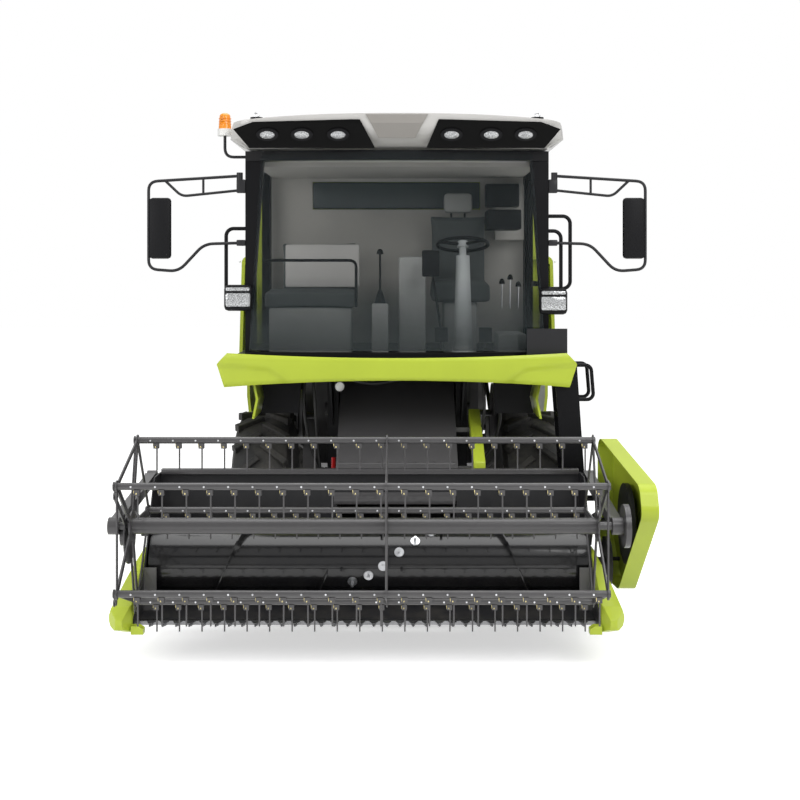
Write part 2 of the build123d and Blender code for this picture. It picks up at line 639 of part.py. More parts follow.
# ---------------------------------------------------------------- lamps
lamp_table = (-862, -628, -395, 357, 610, 830)  # x of each roof lamp
visor_lean = 73 / 152
lamp_back = [(roof_front_y + 58.5 - (z - cab_top_z - 4) * visor_lean, z) for z in (3140, 3205)]
lamp_section = (*lamp_back, *[(y - 14, z) for y, z in reversed(lamp_back)])
with BuildPart() as lamps:
    for x in lamp_table:
        side_plate(lamp_section, x - 62, 124)
    for x, z in ((-1048, 2131), (1030, 2095)):
        block((x - 88, x + 88), (-1330, -1265), (z - 70, z + 70))
        block(sorted((copysign(985, x), copysign(1005, x))), (-1270, pillar_y), (z - 15, z + 15))
    # amber beacon on its bent arm
    bent_tube(((-cab_half_w, -1100, 3048), (-1156, -1100, 3048), (-1156, -1100, 3190)), 60, 20)
    rod((-1156, -1100, 3185), (-1156, -1100, 3230), 100)
    rod((-1156, -1100, 3230), (-1156, -1100, 3345), 84)
    # horn under the bumper
    rod((-375, -1290, 1525), (-375, -1360, 1525), 66)
    block((-387, -363), (-1320, -1296), (1525, platform_z - platform_t))
    for side in (-1, 1):
        block(sorted((side * 980, side * 1120)), (bay_rear_y, bay_rear_y + 40), (1900, 2060))
save(lamps, "lamps")

# ---------------------------------------------------------------- mirrors
with BuildPart() as mirrors:
    for side in (-1, 1):
        for low, high in ((2830, 2930), (2440, 2510)):
            block(sorted((side * cab_half_w, side * (cab_half_w + 40))), (-1180, -1150), (low, high))
        bent_tube(((side * 1030, -1168, 2887), (side * 1638, -1260, 2860), (side * 1638, -1260, 2295),
                   (side * 1445, -1230, 2280), (side * 1280, -1205, 2462), (side * 1030, -1168, 2470)), 45, 22)
        bent_tube(((side * 1030, -1168, 2850), (side * 1150, -1186, 2800), (side * 1560, -1248, 2800),
                   (side * 1638, -1260, 2760)), 30, 18)
        block(sorted((side * 1497, side * 1660)), (-1290, -1235), (2370, 2775))
save(mirrors, "mirrors")

# ---------------------------------------------------------------- cab door
door_x = (cab_half_w - 45, cab_half_w - 3)
door_z = (sill_top_z + 6, header_rail_z - 6)
with BuildPart() as cab_door:
    block(door_x, (door_front_y, door_rear_y), door_z)
    with BuildSketch(Plane.YZ.offset(door_x[0] - 10)):
        with Locations(((door_front_y + door_rear_y) / 2, (door_z[0] + door_z[1]) / 2)):
            Rectangle(door_rear_y - door_front_y - 110, door_z[1] - door_z[0] - 110)
    extrude(amount=100, mode=Mode.SUBTRACT)
    block((door_x[0] - 40, door_x[0]), (door_front_y + 5, door_front_y + 195), (2180, 2215))
save(cab_door, "cab_door")
with BuildPart() as door_glass:
    block((door_x[0] + 15, door_x[0] + 15 + glass_t), (door_front_y + 55, door_rear_y - 55),
              (door_z[0] + 55, door_z[1] - 55))
save(door_glass, "door_glass")

# ---------------------------------------------------------------- feeder house
pivot = (feeder_pivot_y, feeder_pivot_z)
mouth_z = (285, 840)
upper = tangent_point((feeder_front_y, mouth_z[1]), pivot, feeder_end_r, -1)
lower = tangent_point((feeder_front_y, mouth_z[0]), pivot, feeder_end_r, 1)
lift_eye_y, lift_eye_z = -1300, 400
with BuildPart() as feeder_house:
    side_plate(((feeder_front_y, mouth_z[0]), (feeder_front_y, mouth_z[1]), upper, pivot, lower),
                   -feeder_half_w, 2 * feeder_half_w)
    rod((-feeder_half_w, *pivot), (feeder_half_w, *pivot), 2 * feeder_end_r)
    with BuildSketch(Plane.YZ.offset(-feeder_half_w + feeder_wall)):
        Polygon((feeder_front_y - 5, mouth_z[0] + feeder_wall), (feeder_front_y - 5, mouth_z[1] - feeder_wall),
                (-900, mouth_z[1] + 300), (-900, mouth_z[0] + 480), align=None)
    extrude(amount=2 * (feeder_half_w - feeder_wall), mode=Mode.SUBTRACT)
    for side in (-1, 1):
        rod((side * feeder_half_w, *pivot), (side * (rail_x + 60), *pivot), 2 * trunnion_r)
        side_plate(((-1330, 390), (-1330, 520), (-1180, 600), (-1270, 370)), side * (lift_x + 34) - 8, 16)
save(feeder_house, "feeder_house")

# ---------------------------------------------------------------- header table
outer_r = trough_r + table_wall
front_angle = radians(232)
inner_front = (auger_y + trough_r * cos(front_angle), auger_z + trough_r * sin(front_angle))
outer_front = (auger_y + outer_r * cos(front_angle), auger_z + outer_r * sin(front_angle))
wall_x = ((header_right_x - 8, header_right_x), (header_left_x, header_left_x + 8))
wall_outline = (
    (feeder_front_y, header_top_z), (feeder_front_y, auger_z - outer_r), (-2250, auger_z - outer_r),
    (-2400, 228), (-2400, 290), (-2200, 400), (-2050, 560), (-1800, 960), (-1760, header_top_z),
)
with BuildPart() as header_table:
    with BuildSketch(Plane.YZ.offset(header_right_x)):
        with BuildLine():
            Line((-2244, 248), inner_front)
            ThreePointArc(inner_front, (auger_y + trough_r * cos(radians(300)), auger_z + trough_r * sin(radians(300))),
                          (table_back_y, auger_z))
            Polyline((table_back_y, auger_z), (table_back_y, header_top_z), (feeder_front_y, header_top_z),
                     (feeder_front_y, auger_z))
            ThreePointArc((feeder_front_y, auger_z),
                          (auger_y + outer_r * cos(radians(300)), auger_z + outer_r * sin(radians(300))), outer_front)
            Polyline(outer_front, (-2244, 238), (-2244, 248))
        make_face()
    extrude(amount=header_width)
    block((-feeder_half_w + feeder_wall, feeder_half_w - feeder_wall),
              (table_back_y - 60, feeder_front_y + 5), (mouth_z[0] + 30, mouth_z[1] - feeder_wall), mode=Mode.SUBTRACT)
    for low, high in wall_x:
        side_plate(wall_outline, low, high - low)
    beam_y = (feeder_front_y, feeder_front_y + beam_d)
    block((-1400, 1070), beam_y, (header_top_z - beam_h, header_top_z))
    for inner, outer in ((-1400, header_right_x - 24), (1070, header_left_x + 24)):
        with BuildSketch(Plane.XZ.offset(-beam_y[1])):
            Polygon((inner, header_top_z), (outer, header_top_z - 12), (outer, header_top_z - beam_h - 24),
                    (inner, header_top_z - beam_h), align=None)
        extrude(amount=beam_d)
    for x in (-1100, -600, 600, 1000):
        block((x - 30, x + 30), (feeder_front_y, feeder_front_y + 60), (auger_z - 230, header_top_z - beam_h))
    block((header_right_x - 8, header_left_x + 8), (feeder_front_y, feeder_front_y + 60), (auger_z - 280, auger_z - 225))
    # pins of the reel's arms
    for x in ((header_right_x - 110, header_right_x - 20), (header_left_x + 20, header_left_x + 110)):
        rod((x[0], arm_pivot_y, arm_pivot_z), (x[1], arm_pivot_y, arm_pivot_z), 40)
    # stubs that carry the reel cylinders
    rod((header_right_x - 8, *reel_cylinder_base), (header_right_x - 63 + running_gap, *reel_cylinder_base), 40)
    rod((header_left_x + 8, *reel_cylinder_base), (header_left_x + 23 - running_gap, *reel_cylinder_base), 40)
save(header_table, "header_table")

# ---------------------------------------------------------------- dividers, knife and drive shield
with BuildPart() as header_dividers:
    for side, wall in ((-1, header_right_x - 8), (1, header_left_x + 8)):
        tip = wall + side * 70
        outer = wall + side * 152
        with BuildSketch(Plane.YZ.offset(min(wall, outer))):
            Polygon((-2650, 268), (-2660, 300), (-2560, 377), (-2150, 540), (-1900, 560), (-1900, 500),
                    (-2200, 240), (-2450, 232), align=None)
        extrude(amount=152)
        with BuildSketch(Plane.XY.offset(200)):
            Polygon((wall, -1890), (wall, -2640), (wall + side * 25, -2662), (tip + side * 30, -2640), (outer, -2500),
                    (outer, -2250), (tip, -1890), align=None)
        extrude(amount=500, mode=Mode.INTERSECT)
        if side == -1:
            right_divider = header_dividers.part
    add(right_divider)
save(header_dividers, "header_dividers")

guard_count = 34
guard_pitch = 76.2
with BuildPart() as cutter_bar:
    block((header_right_x, header_left_x), (-2262, -2240), (218, 237))
    first = header_mid_x - (guard_count - 1) / 2 * guard_pitch
    teeth = [(header_right_x + 2, -2262)]
    for count in range(guard_count):
        x = first + count * guard_pitch
        teeth += [(x - 26, -2262), (x - 5, -2318), (x + 5, -2318), (x + 26, -2262)]
        with BuildSketch(Plane.XZ.offset(2262)):
            with Locations((x, 226)):
                Rectangle(22, 22)
        with BuildSketch(Plane.XZ.offset(-knife_tip_y)):
            with Locations((x, 228)):
                Rectangle(5, 6)
        loft(ruled=True)
    teeth += [(header_left_x - 2, -2262), (header_left_x - 2, -2246), (header_right_x + 2, -2246)]
    with BuildSketch(Plane.XY.offset(237)):
        Polygon(*teeth, align=None)
    extrude(amount=4)
save(cutter_bar, "cutter_bar")

shield_outline = ((-1470, 1230), (-2470, 1060), (-2530, 900), (-2000, 360), (-1670, 360), (-1470, 600))
shield_t = 6
with BuildPart() as header_drive_shield:
    with BuildSketch(Plane.YZ.offset(1250)):
        Polygon(*shield_outline, align=None)
        fillet(vertices(), 90)
    extrude(amount=300)
    with BuildSketch(Plane.XY.offset(300)):
        Polygon((1290, -1460), (1390, -1460), (1482, -2540), (1382, -2540), align=None)
    extrude(amount=1000, mode=Mode.INTERSECT)
    with BuildSketch(Plane.YZ.offset(1250)):
        Polygon(*shield_outline, align=None)
        fillet(vertices(), 90)
        offset(amount=-shield_t)
    hollow = extrude(amount=300, mode=Mode.PRIVATE)
    with BuildSketch(Plane.XY.offset(300)):
        Polygon((1200, -1400), (1384, -1400), (1476, -2600), (1200, -2600), align=None)
    slab = extrude(amount=1000, mode=Mode.PRIVATE)
    add(hollow & slab, mode=Mode.SUBTRACT)
save(header_drive_shield, "header_drive_shield")

# belt pulleys of the header drive, on the left side wall: y, z, radius, first x
header_pulleys = ((-2000, 760, 240, 1370), (auger_y, auger_z, 150, 1275), (-1640, 850, 90, 1275))
with BuildPart() as header_drive:
    for y, z, radius, x in header_pulleys:
        rod((x, y, z), (x + 30, y, z), 2 * radius)
        rod((header_left_x + 8, y, z), (x, y, z), 36)
    # struts and the large pulley's shaft carry the shield
    for y, z, end_x, diameter in ((-1560, 700, 1395.3, 24), (-1650, 470, 1402.2, 24), (-2000, 760, 1428.6, 36)):
        rod((header_left_x + 8, y, z), (end_x, y, z), diameter)
    side_plate(((-2040, 740), (-2020, 790), (-1980, 790), (-1880, 720), (-1860, 620), (-1960, 620)),
               header_left_x + 8, 12)
save(header_drive, "header_drive")

# ---------------------------------------------------------------- header auger
helix_turns_left = 1.55
flight_t = 6
drum_wall = 6
drum = (header_right_x + 12, header_left_x - 12)
finger_table = (-330, -210, -90, 30, 150, 270)  # x of each retracting finger pair
with BuildPart() as header_auger:
    centre = (0, auger_y, auger_z)
    rod((drum[0], auger_y, auger_z), (drum[1], auger_y, auger_z), 2 * auger_drum_r)
    rod((drum[0], auger_y, auger_z), (drum[1], auger_y, auger_z), 2 * (auger_drum_r - drum_wall), mode=Mode.SUBTRACT)
    # end discs with hand holes, recessed in the drum
    for x in (drum[0] + 40, drum[1] - 48):
        with BuildSketch(Plane.YZ.offset(x)):
            with Locations((auger_y, auger_z)):
                Circle(auger_drum_r - drum_wall / 2)
            with Locations((auger_y, auger_z)):
                with PolarLocations(120, 4):
                    Circle(42, mode=Mode.SUBTRACT)
        extrude(amount=8)
    rod((header_right_x + running_gap, auger_y, auger_z), (header_left_x - running_gap, auger_y, auger_z), 60)
    for count, x in enumerate(finger_table):
        angle = count * 60
        for turn in (0, 180):
            reach = auger_flight_r - 8
            dy, dz = cos(radians(angle + turn)), sin(radians(angle + turn))
            rod((x, auger_y, auger_z), (x, auger_y + reach * dy, auger_z + reach * dz), 16)
save(header_auger, "header_auger")

# ---------------------------------------------------------------- reel
ring_y, ring_z = reel_y + crank[0], reel_z + crank[1]
bar_angles = tuple(-36 + 72 * count for count in range(5))
arm_table = ((header_right_x - 95, -1), (header_left_x + 35, 1))  # first x, side
arm_w = 60
ring_x = header_right_x + 6  # right face of the eccentric tine ring
with BuildPart() as reel_arms:
    tilt = degrees(atan2(reel_z - arm_pivot_z, reel_y - arm_pivot_y))
    run = hypot(reel_y - arm_pivot_y, reel_z - arm_pivot_z)
    for x, side in arm_table:
        with BuildSketch(Plane.YZ.offset(x)):
            with Locations(Location(((reel_y + arm_pivot_y) / 2, (reel_z + arm_pivot_z) / 2, 0), tilt)):
                Rectangle(run, 60)
            with Locations((reel_y, reel_z)):
                Circle(48)
            with Locations((arm_pivot_y, arm_pivot_z)):
                Circle(38)
            with Locations((reel_y, reel_z)):
                Circle(22.5 + running_gap, mode=Mode.SUBTRACT)
            with Locations((arm_pivot_y, arm_pivot_z)):
                Circle(20 + running_gap, mode=Mode.SUBTRACT)
        extrude(amount=arm_w)
        side_plate(((-2085, 830), (-2110, 900), (-2010, 910), (-2035, 830)), x + 32, 8)
    # eccentric disc that carries the tine ring, on the right arm
    with BuildSketch(Plane.YZ.offset(header_right_x)):
        with Locations((ring_y, ring_z)):
            Circle(125 - running_gap)
        with Locations((reel_y, reel_z)):
            Circle(22.5 + running_gap, mode=Mode.SUBTRACT)
    extrude(amount=ring_x + 6 - header_right_x)
    with BuildSketch(Plane.YZ.offset(header_right_x - 36)):
        with Locations((ring_y, ring_z)):
            Circle(60)
        with Locations((reel_y, reel_z)):
            Circle(22.5 + running_gap, mode=Mode.SUBTRACT)
    extrude(amount=36)
save(reel_arms, "reel_arms")

stations = (-1466, -54, reel_left_x - 12)
shaft_end = (header_right_x - 100, header_left_x + 100)
boss_r = 32
with BuildPart() as reel_spider:
    rod((reel_right_x + 12, reel_y, reel_z), (reel_left_x - 6, reel_y, reel_z), 90)
    rod((shaft_end[0], reel_y, reel_z), (shaft_end[1], reel_y, reel_z), 45)
    rod((header_left_x + 97, reel_y, reel_z), (header_left_x + 127, reel_y, reel_z), 240)
    for x in stations:
        with BuildSketch(Plane.YZ.offset(x - 4)):
            for angle in bar_angles:
                y, z = on_reel(angle)
                with Locations(Location(((y + reel_y) / 2, (z + reel_z) / 2, 0), 180 - angle)):
                    Rectangle(reel_r - 40, 38)
                y2, z2 = on_reel(angle + 72)
                with Locations(Location(((y + y2) / 2, (z + z2) / 2, 0), degrees(atan2(z2 - z, y2 - y)))):
                    Rectangle(hypot(y2 - y, z2 - z) - 40, 26)
                with Locations((y, z)):
                    Circle(boss_r)
            with Locations((reel_y, reel_z)):
                Circle(85)
            for angle in bar_angles:
                with Locations(on_reel(angle)):
                    Circle(tine_bar_r + running_gap, mode=Mode.SUBTRACT)
        extrude(amount=8)
save(reel_spider, "reel_spider")

crank_x = reel_right_x - 10
for count, angle in enumerate(bar_angles):
    y, z = on_reel(angle)
    pin_y, pin_z = y + crank[0], z + crank[1]
    with BuildPart() as tine_bar:
        rod((reel_right_x - 4, y, z), (reel_left_x, y, z), 2 * tine_bar_r)
        with BuildSketch(Plane.YZ.offset(crank_x)):
            with Locations(Location(((y + pin_y) / 2, (z + pin_z) / 2, 0), degrees(atan2(pin_z - z, pin_y - y)))):
                Rectangle(hypot(*crank), 26)
            with Locations((y, z)):
                Circle(24)
            with Locations((pin_y, pin_z)):
                Circle(16)
        extrude(amount=6)
        rod((ring_x, pin_y, pin_z), (crank_x, pin_y, pin_z), 16)
        tine_x = [first_tine_x + tine * tine_pitch for tine in range(tine_count)]
        with Locations(*[(x, y, z - tine_length / 2) for x in tine_x]):
            Box(8, 8, tine_length)
        with Locations(*[(x - 3, y - 1, z - 31) for x in tine_x]):
            Box(30, 28, 30)
    save(tine_bar, f"tine_bar_{count + 1}")

with BuildPart() as reel_ring:
    with BuildSketch(Plane.YZ.offset(ring_x)):
        with Locations((ring_y, ring_z)):
            Circle(160)
        for angle in bar_angles:
            y, z = on_reel(angle)
            y, z = y + crank[0], z + crank[1]
            with Locations(Location(((y + ring_y) / 2, (z + ring_z) / 2, 0), 180 - angle)):
                Rectangle(reel_r, 34)
            with Locations((y, z)):
                Circle(22)
        with Locations((ring_y, ring_z)):
            Circle(125, mode=Mode.SUBTRACT)
        for angle in bar_angles:
            y, z = on_reel(angle)
            with Locations((y + crank[0], z + crank[1])):
                Circle(8 + running_gap, mode=Mode.SUBTRACT)
    extrude(amount=6)
save(reel_ring, "reel_ring")

# ---------------------------------------------------------------- hydraulic cylinders
reel_eye_y, reel_eye_z = -2060, 852


def cylinder_line(base, eye):
    """The length and direction of a cylinder from its base pin to its eye, both given as (y, z)."""
    run = hypot(eye[0] - base[0], eye[1] - base[1])
    return run, (eye[0] - base[0]) / run, (eye[1] - base[1]) / run


# name, base, eye, barrel length, stroke drawn in from rest, xs, barrel diameter, rod diameter
cylinder_table = (
    ("lift", lift_cylinder_base, (lift_eye_y, lift_eye_z), 520, 90, (-lift_x + 5, lift_x - 5), 90, 50),
    ("reel_lift", reel_cylinder_base, (reel_eye_y, reel_eye_z), 330, 12,
     (header_right_x - 85, header_left_x + 45), 46, 26),
)
for name, base, eye, closed, draw_in, xs, barrel_d, rod_d in cylinder_table:
    run, dy, dz = cylinder_line(base, eye)
    with BuildPart() as barrels:
        for x in xs:
            rod((x, base[0] + 28 * dy, base[1] + 28 * dz), (x, base[0] + closed * dy, base[1] + closed * dz), barrel_d)
            rod((x - 22, *base), (x + 22, *base), 60)
        for x in xs:
            with BuildSketch(Plane(origin=(x, base[0] + 40 * dy, base[1] + 40 * dz), z_dir=(0, dy, dz))):
                Circle(rod_d / 2 + 0.5)
            extrude(amount=closed, mode=Mode.SUBTRACT)
    save(barrels, f"{name}_barrels")
    with BuildPart() as rods:
        for x in xs:
            start = 50 + draw_in
            rod((x, base[0] + start * dy, base[1] + start * dz),
                (x, base[0] + (run - 20) * dy, base[1] + (run - 20) * dz), rod_d)
            rod((x - 15, *eye), (x + 15, *eye), 50)
    save(rods, f"{name}_rods")
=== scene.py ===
# %% [markdown]
# # A combine harvester, dressed for its portrait
#
# The machine's solids come from its CAD model, packed with its joints. This script loads them,
# gives every part its paint, steel, rubber or glass, and adds what is too small or too soft for the
# CAD: tine coils, belts, bolts, padded seats and hoses. Where a solid is plainer than the machine's own
# form, as the tyres, the bumper and the roof are, a finer piece takes its place. Lengths are in metres,
# +X is the machine's left, +Y its rear and Z is up.

# %% Load the frame
import math

import bmesh
import bpy
from mathutils import Matrix, Vector


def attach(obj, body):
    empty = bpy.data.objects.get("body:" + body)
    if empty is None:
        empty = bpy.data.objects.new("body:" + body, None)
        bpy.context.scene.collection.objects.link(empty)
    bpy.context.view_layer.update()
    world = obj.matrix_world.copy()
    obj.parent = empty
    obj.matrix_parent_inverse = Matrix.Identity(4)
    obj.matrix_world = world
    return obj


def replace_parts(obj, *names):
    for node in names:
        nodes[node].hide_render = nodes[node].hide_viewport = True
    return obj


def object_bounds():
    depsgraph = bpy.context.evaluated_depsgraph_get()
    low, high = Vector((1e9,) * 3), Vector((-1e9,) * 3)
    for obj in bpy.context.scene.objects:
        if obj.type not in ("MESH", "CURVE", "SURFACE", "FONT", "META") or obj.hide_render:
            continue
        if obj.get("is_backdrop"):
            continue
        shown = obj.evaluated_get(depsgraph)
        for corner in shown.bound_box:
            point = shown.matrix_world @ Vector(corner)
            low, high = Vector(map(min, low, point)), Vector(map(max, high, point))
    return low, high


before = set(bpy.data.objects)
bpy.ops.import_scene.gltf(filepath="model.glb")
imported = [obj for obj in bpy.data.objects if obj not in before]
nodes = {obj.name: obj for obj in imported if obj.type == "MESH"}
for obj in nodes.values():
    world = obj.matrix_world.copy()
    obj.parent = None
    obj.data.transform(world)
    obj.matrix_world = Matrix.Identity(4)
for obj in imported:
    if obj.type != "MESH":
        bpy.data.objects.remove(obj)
cad_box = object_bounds()
print("nodes:", len(nodes), "box:", cad_box)

# %% [markdown]
# ## Writing shader sums as plain sums
#
# A shader's maths is a chain of Math nodes, and wiring each by hand hides the formula. Here a socket is
# wrapped in a small class whose operators make the Math nodes, so a bump height can be written as a sum.


# %% A finish and its shader sums
class Finish:
    """A material, or the world's light, under construction, with one method that makes every node."""

    def __init__(self, name, kind=bpy.data.materials, shader="Principled BSDF"):
        self.material = kind.new(name)
        self.material.use_nodes = True
        self.tree = self.material.node_tree
        self.shader = self.tree.nodes[shader]
        self.place = self.node("ShaderNodeTexCoord").outputs["Object"]

    def node(self, kind, inputs=(), **settings):
        """Make a node, set its own settings, and plug or write each input given as (socket, value)."""
        made = self.tree.nodes.new(kind)
        for key, value in settings.items():
            setattr(made, key, value)
        for socket, value in inputs:
            self.plug(value, made.inputs[socket])
        return made

    def plug(self, value, socket):
        """Link a Sum or a socket, or write a plain number or colour."""
        if isinstance(value, Sum):
            value = value.socket
        if isinstance(value, bpy.types.NodeSocket):
            self.tree.links.new(value, socket)
        else:
            socket.default_value = value

    def noise(self, scale, detail=2.0, roughness=0.5, stretch=None):
        """Noise over the object's own coordinates, optionally stretched along an axis."""
        place = self.place
        if stretch:
            place = self.node("ShaderNodeMapping", [("Vector", place), ("Scale", stretch)]).outputs[0]
        made = self.node(
            "ShaderNodeTexNoise",
            [("Vector", place), ("Scale", scale), ("Detail", detail), ("Roughness", roughness)],
        )
        return Sum(self, made.outputs["Fac"])

    def axis(self, letter):
        """One of the object's own coordinates, in metres."""
        made = self.node("ShaderNodeSeparateXYZ", [("Vector", self.place)])
        return Sum(self, made.outputs[letter])

    def rays(self):
        """Three sums that are 1 for rays seen directly, seen through glass and seen in a shine."""
        path = self.node("ShaderNodeLightPath").outputs
        return [Sum(self, path[f"Is {kind} Ray"]) for kind in ("Camera", "Transmission", "Glossy")]

    def blend(self, amount, first, second):
        """A colour between two, by an amount from 0 to 1."""
        made = self.node("ShaderNodeMix", data_type="RGBA")
        self.plug(amount, made.inputs[0])
        self.plug(first, made.inputs[6])
        self.plug(second, made.inputs[7])
        return made.outputs[2]

    def bump(self, height, depth=0.001, strength=1.0):
        """Tilt the normal by a height of 0 to 1 that stands for a depth in metres."""
        made = self.node("ShaderNodeBump", [("Height", height), ("Distance", depth), ("Strength", strength)])
        self.plug(made.outputs[0], self.shader.inputs["Normal"])

    def set(self, **values):
        """Write or link the shader's own sockets; underscores stand for spaces."""
        for key, value in values.items():
            self.plug(value, self.shader.inputs[key.replace("_", " ")])
        return self.material


class Sum:
    """A socket that can be added, multiplied, subtracted and ramped, on either side of the sign."""

    def __init__(self, finish, socket):
        self.finish = finish
        self.socket = socket

    def apply(self, operation, other, flip=False):
        """One Math node of this socket and another value."""
        pair = [(0, other), (1, self)] if flip else [(0, self), (1, other)]
        made = self.finish.node("ShaderNodeMath", pair, operation=operation)
        return Sum(self.finish, made.outputs[0])

    def __add__(self, other):
        return self.apply("ADD", other)

    def __mul__(self, other):
        return self.apply("MULTIPLY", other)

    def __sub__(self, other):
        return self.apply("SUBTRACT", other)

    def __rsub__(self, other):
        return self.apply("SUBTRACT", other, flip=True)

    __radd__, __rmul__ = __add__, __mul__

    def above(self, low, high):
        """0 below low, 1 above high, and a straight ramp between."""
        made = self.finish.node(
            "ShaderNodeMapRange", [("Value", self), ("From Min", low), ("From Max", high)], clamp=True
        )
        return Sum(self.finish, made.outputs[0])


# %% [markdown]
# ## Lime paint
#
# Sheet-metal panels carry a glossy two-coat paint. Up close it has a faint orange peel, and it gathers a
# film of dust low down. A clear coat over a slightly varied base gives the soft double highlight.


# %% Paints
def paint(name, colour, rough=0.35, coat=0.6, dust=0.12, dust_top=1.0, dark=0.9, shine=0.5):
    """A coated paint with orange peel and dust that thickens towards the ground."""
    finish = Finish(name)
    cloud = finish.noise(3.0, 4.0)
    shade = [value * dark for value in colour[:3]] + [1]
    base = finish.blend(cloud.above(0.3, 0.7), shade, colour)
    height = finish.axis("Z")
    film = (1 - height.above(0.1, dust_top)) * finish.noise(9.0, 5.0, 0.65).above(0.4, 0.75) * dust
    dusty = finish.blend(film, base, (0.30, 0.27, 0.21, 1))
    finish.bump(finish.noise(160.0, 1.0), 0.0004, 0.25)
    rough_sum = film * 0.5 + cloud * 0.08 + rough
    return finish.set(Base_Color=dusty, Roughness=rough_sum, Coat_Weight=coat, Coat_Roughness=0.08,
                      Specular_IOR_Level=shine)


lime = paint("lime_paint", (0.475, 0.580, 0.045, 1), 0.35, 0.15, 0.05, shine=0.3)
black_steel = paint("black_steel", (0.016, 0.016, 0.018, 1), 0.4, 0.05, 0.1, shine=0.25)
cab_black = paint("cab_black", (0.006, 0.006, 0.007, 1), 0.3, 0.0, 0.0, shine=0.12)
dark_steel = paint("dark_steel", (0.082, 0.080, 0.082, 1), 0.45, 0.15, 0.15)
reel_steel = paint("reel_steel", (0.050, 0.048, 0.050, 1), 0.35, 0.3, 0.05)
gloss_black = paint("gloss_black", (0.007, 0.007, 0.008, 1), 0.2, 0.5, 0.03, shine=0.3)
rim_paint = paint("rim_grey", (0.42, 0.42, 0.40, 1), 0.4, 0.3, 0.3)
roof_shell = paint("roof_grey", (0.53, 0.52, 0.50, 1), 0.3, 0.5, 0.0)
roof_panel = paint("roof_panel", (0.27, 0.255, 0.235, 1), 0.45, 0.2, 0.0)
visor_shell = paint("visor_black", (0.004, 0.004, 0.004, 1), 0.3, 0.0, 0.0, shine=0.06)

# %% [markdown]
# ## Steel, rubber, plastic and glass
#
# Bare steel shows its grinding lines and rods their chrome; tyres are a dull black with grey dust in the
# grain. Moulded plastic has a leather-like grain. Glass is a thin tinted sheet: mostly clear, so alpha
# carries the look and the seats behind stay visible.


# %% Bare metals
def bare_metal(name, colour, rough, grain=0.3):
    """A metal with fine lines along Y and blotches of wear."""
    finish = Finish(name)
    lines = finish.noise(60.0, 3.0, 0.6, (1.0, 14.0, 1.0))
    finish.bump(lines, 0.0003, grain)
    worn = finish.noise(6.0, 4.0)
    shade = [value * 0.6 for value in colour[:3]] + [1]
    return finish.set(
        Base_Color=finish.blend(worn.above(0.35, 0.7), shade, colour),
        Metallic=1.0,
        Roughness=worn * 0.15 + rough,
    )


knife_steel = bare_metal("knife_steel", (0.30, 0.30, 0.31, 1), 0.35)
zinc = bare_metal("yellow_zinc", (0.70, 0.60, 0.30, 1), 0.35)
bright_zinc = bare_metal("bright_zinc", (0.75, 0.76, 0.78, 1), 0.25, 0.1)
chrome = bare_metal("chrome_rod", (0.80, 0.80, 0.82, 1), 0.08, 0.05)


# %% Rubber and plastics
def grained(name, colour, rough, scale, depth, dust=0.0, shine=0.5):
    """A dull moulded surface with a grain and, on tyres, dust."""
    finish = Finish(name)
    grain = finish.noise(scale, 3.0, 0.6)
    finish.bump(grain, depth, 0.6)
    film = finish.noise(5.0, 5.0, 0.7).above(0.42, 0.8) * dust
    base = finish.blend(film, colour, (0.26, 0.235, 0.19, 1))
    return finish.set(Base_Color=base, Roughness=grain * 0.1 + rough, Specular_IOR_Level=shine)


tyre_rubber = grained("tyre", (0.020, 0.020, 0.020, 1), 0.7, 90.0, 0.0012, 0.22)
black_plastic = grained("black_plastic", (0.008, 0.008, 0.009, 1), 0.45, 260.0, 0.0004, shine=0.12)
bench_fabric = grained("bench_fabric", (0.62, 0.61, 0.59, 1), 0.8, 500.0, 0.001)
window_dark = grained("rear_window_dark", (0.055, 0.068, 0.072, 1), 0.25, 30.0, 0.0002, shine=0.3)
grey_plastic = grained("lamp_plastic", (0.30, 0.30, 0.30, 1), 0.4, 260.0, 0.0004)
cab_trim = grained("interior_grey", (0.34, 0.35, 0.34, 1), 0.55, 220.0, 0.0005)
cab_wall = grained("interior_wall", (0.47, 0.46, 0.43, 1), 0.75, 320.0, 0.0008)
seat_fabric = grained("seat_fabric", (0.085, 0.095, 0.095, 1), 0.85, 700.0, 0.0012)
column_grey = grained("column_grey", (0.46, 0.49, 0.49, 1), 0.4, 220.0, 0.0004)
amber = grained("amber_lens", (0.80, 0.27, 0.02, 1), 0.15, 120.0, 0.0002)
red_lens = grained("red_lens", (0.45, 0.01, 0.01, 1), 0.15, 120.0, 0.0002)
white_plastic = grained("white_plastic", (0.70, 0.70, 0.68, 1), 0.35, 220.0, 0.0002)
black_rubber = grained("hose_rubber", (0.012, 0.012, 0.012, 1), 0.5, 160.0, 0.0003)


# %% Lamp lens and mirror
def honeycomb_lens(name, colour):
    """A clear lens over a bright reflector, pressed with small cells, with painted shade in the grooves
    between them.
    """
    finish = Finish(name)
    cell_input = [("Vector", finish.place), ("Scale", 75.0)]
    cells = finish.node("ShaderNodeTexVoronoi", cell_input, feature="DISTANCE_TO_EDGE")
    ridge = Sum(finish, cells.outputs["Distance"]).above(0.0, 0.12)
    finish.bump(ridge, 0.004, 0.8)
    # painted shade: the grooves between the cells are coloured darker than the cells' middles
    shade = [value * 0.45 for value in colour[:3]] + [1]
    base = finish.blend(ridge, shade, colour)
    return finish.set(Base_Color=base, Roughness=0.12, Metallic=0.35, Coat_Weight=1.0, Coat_Roughness=0.03)


lens = honeycomb_lens("lamp_lens", (0.54, 0.55, 0.56, 1))
mirror_glass = Finish("mirror_glass").set(Base_Color=(0.65, 0.67, 0.68, 1), Metallic=1.0, Roughness=0.02)


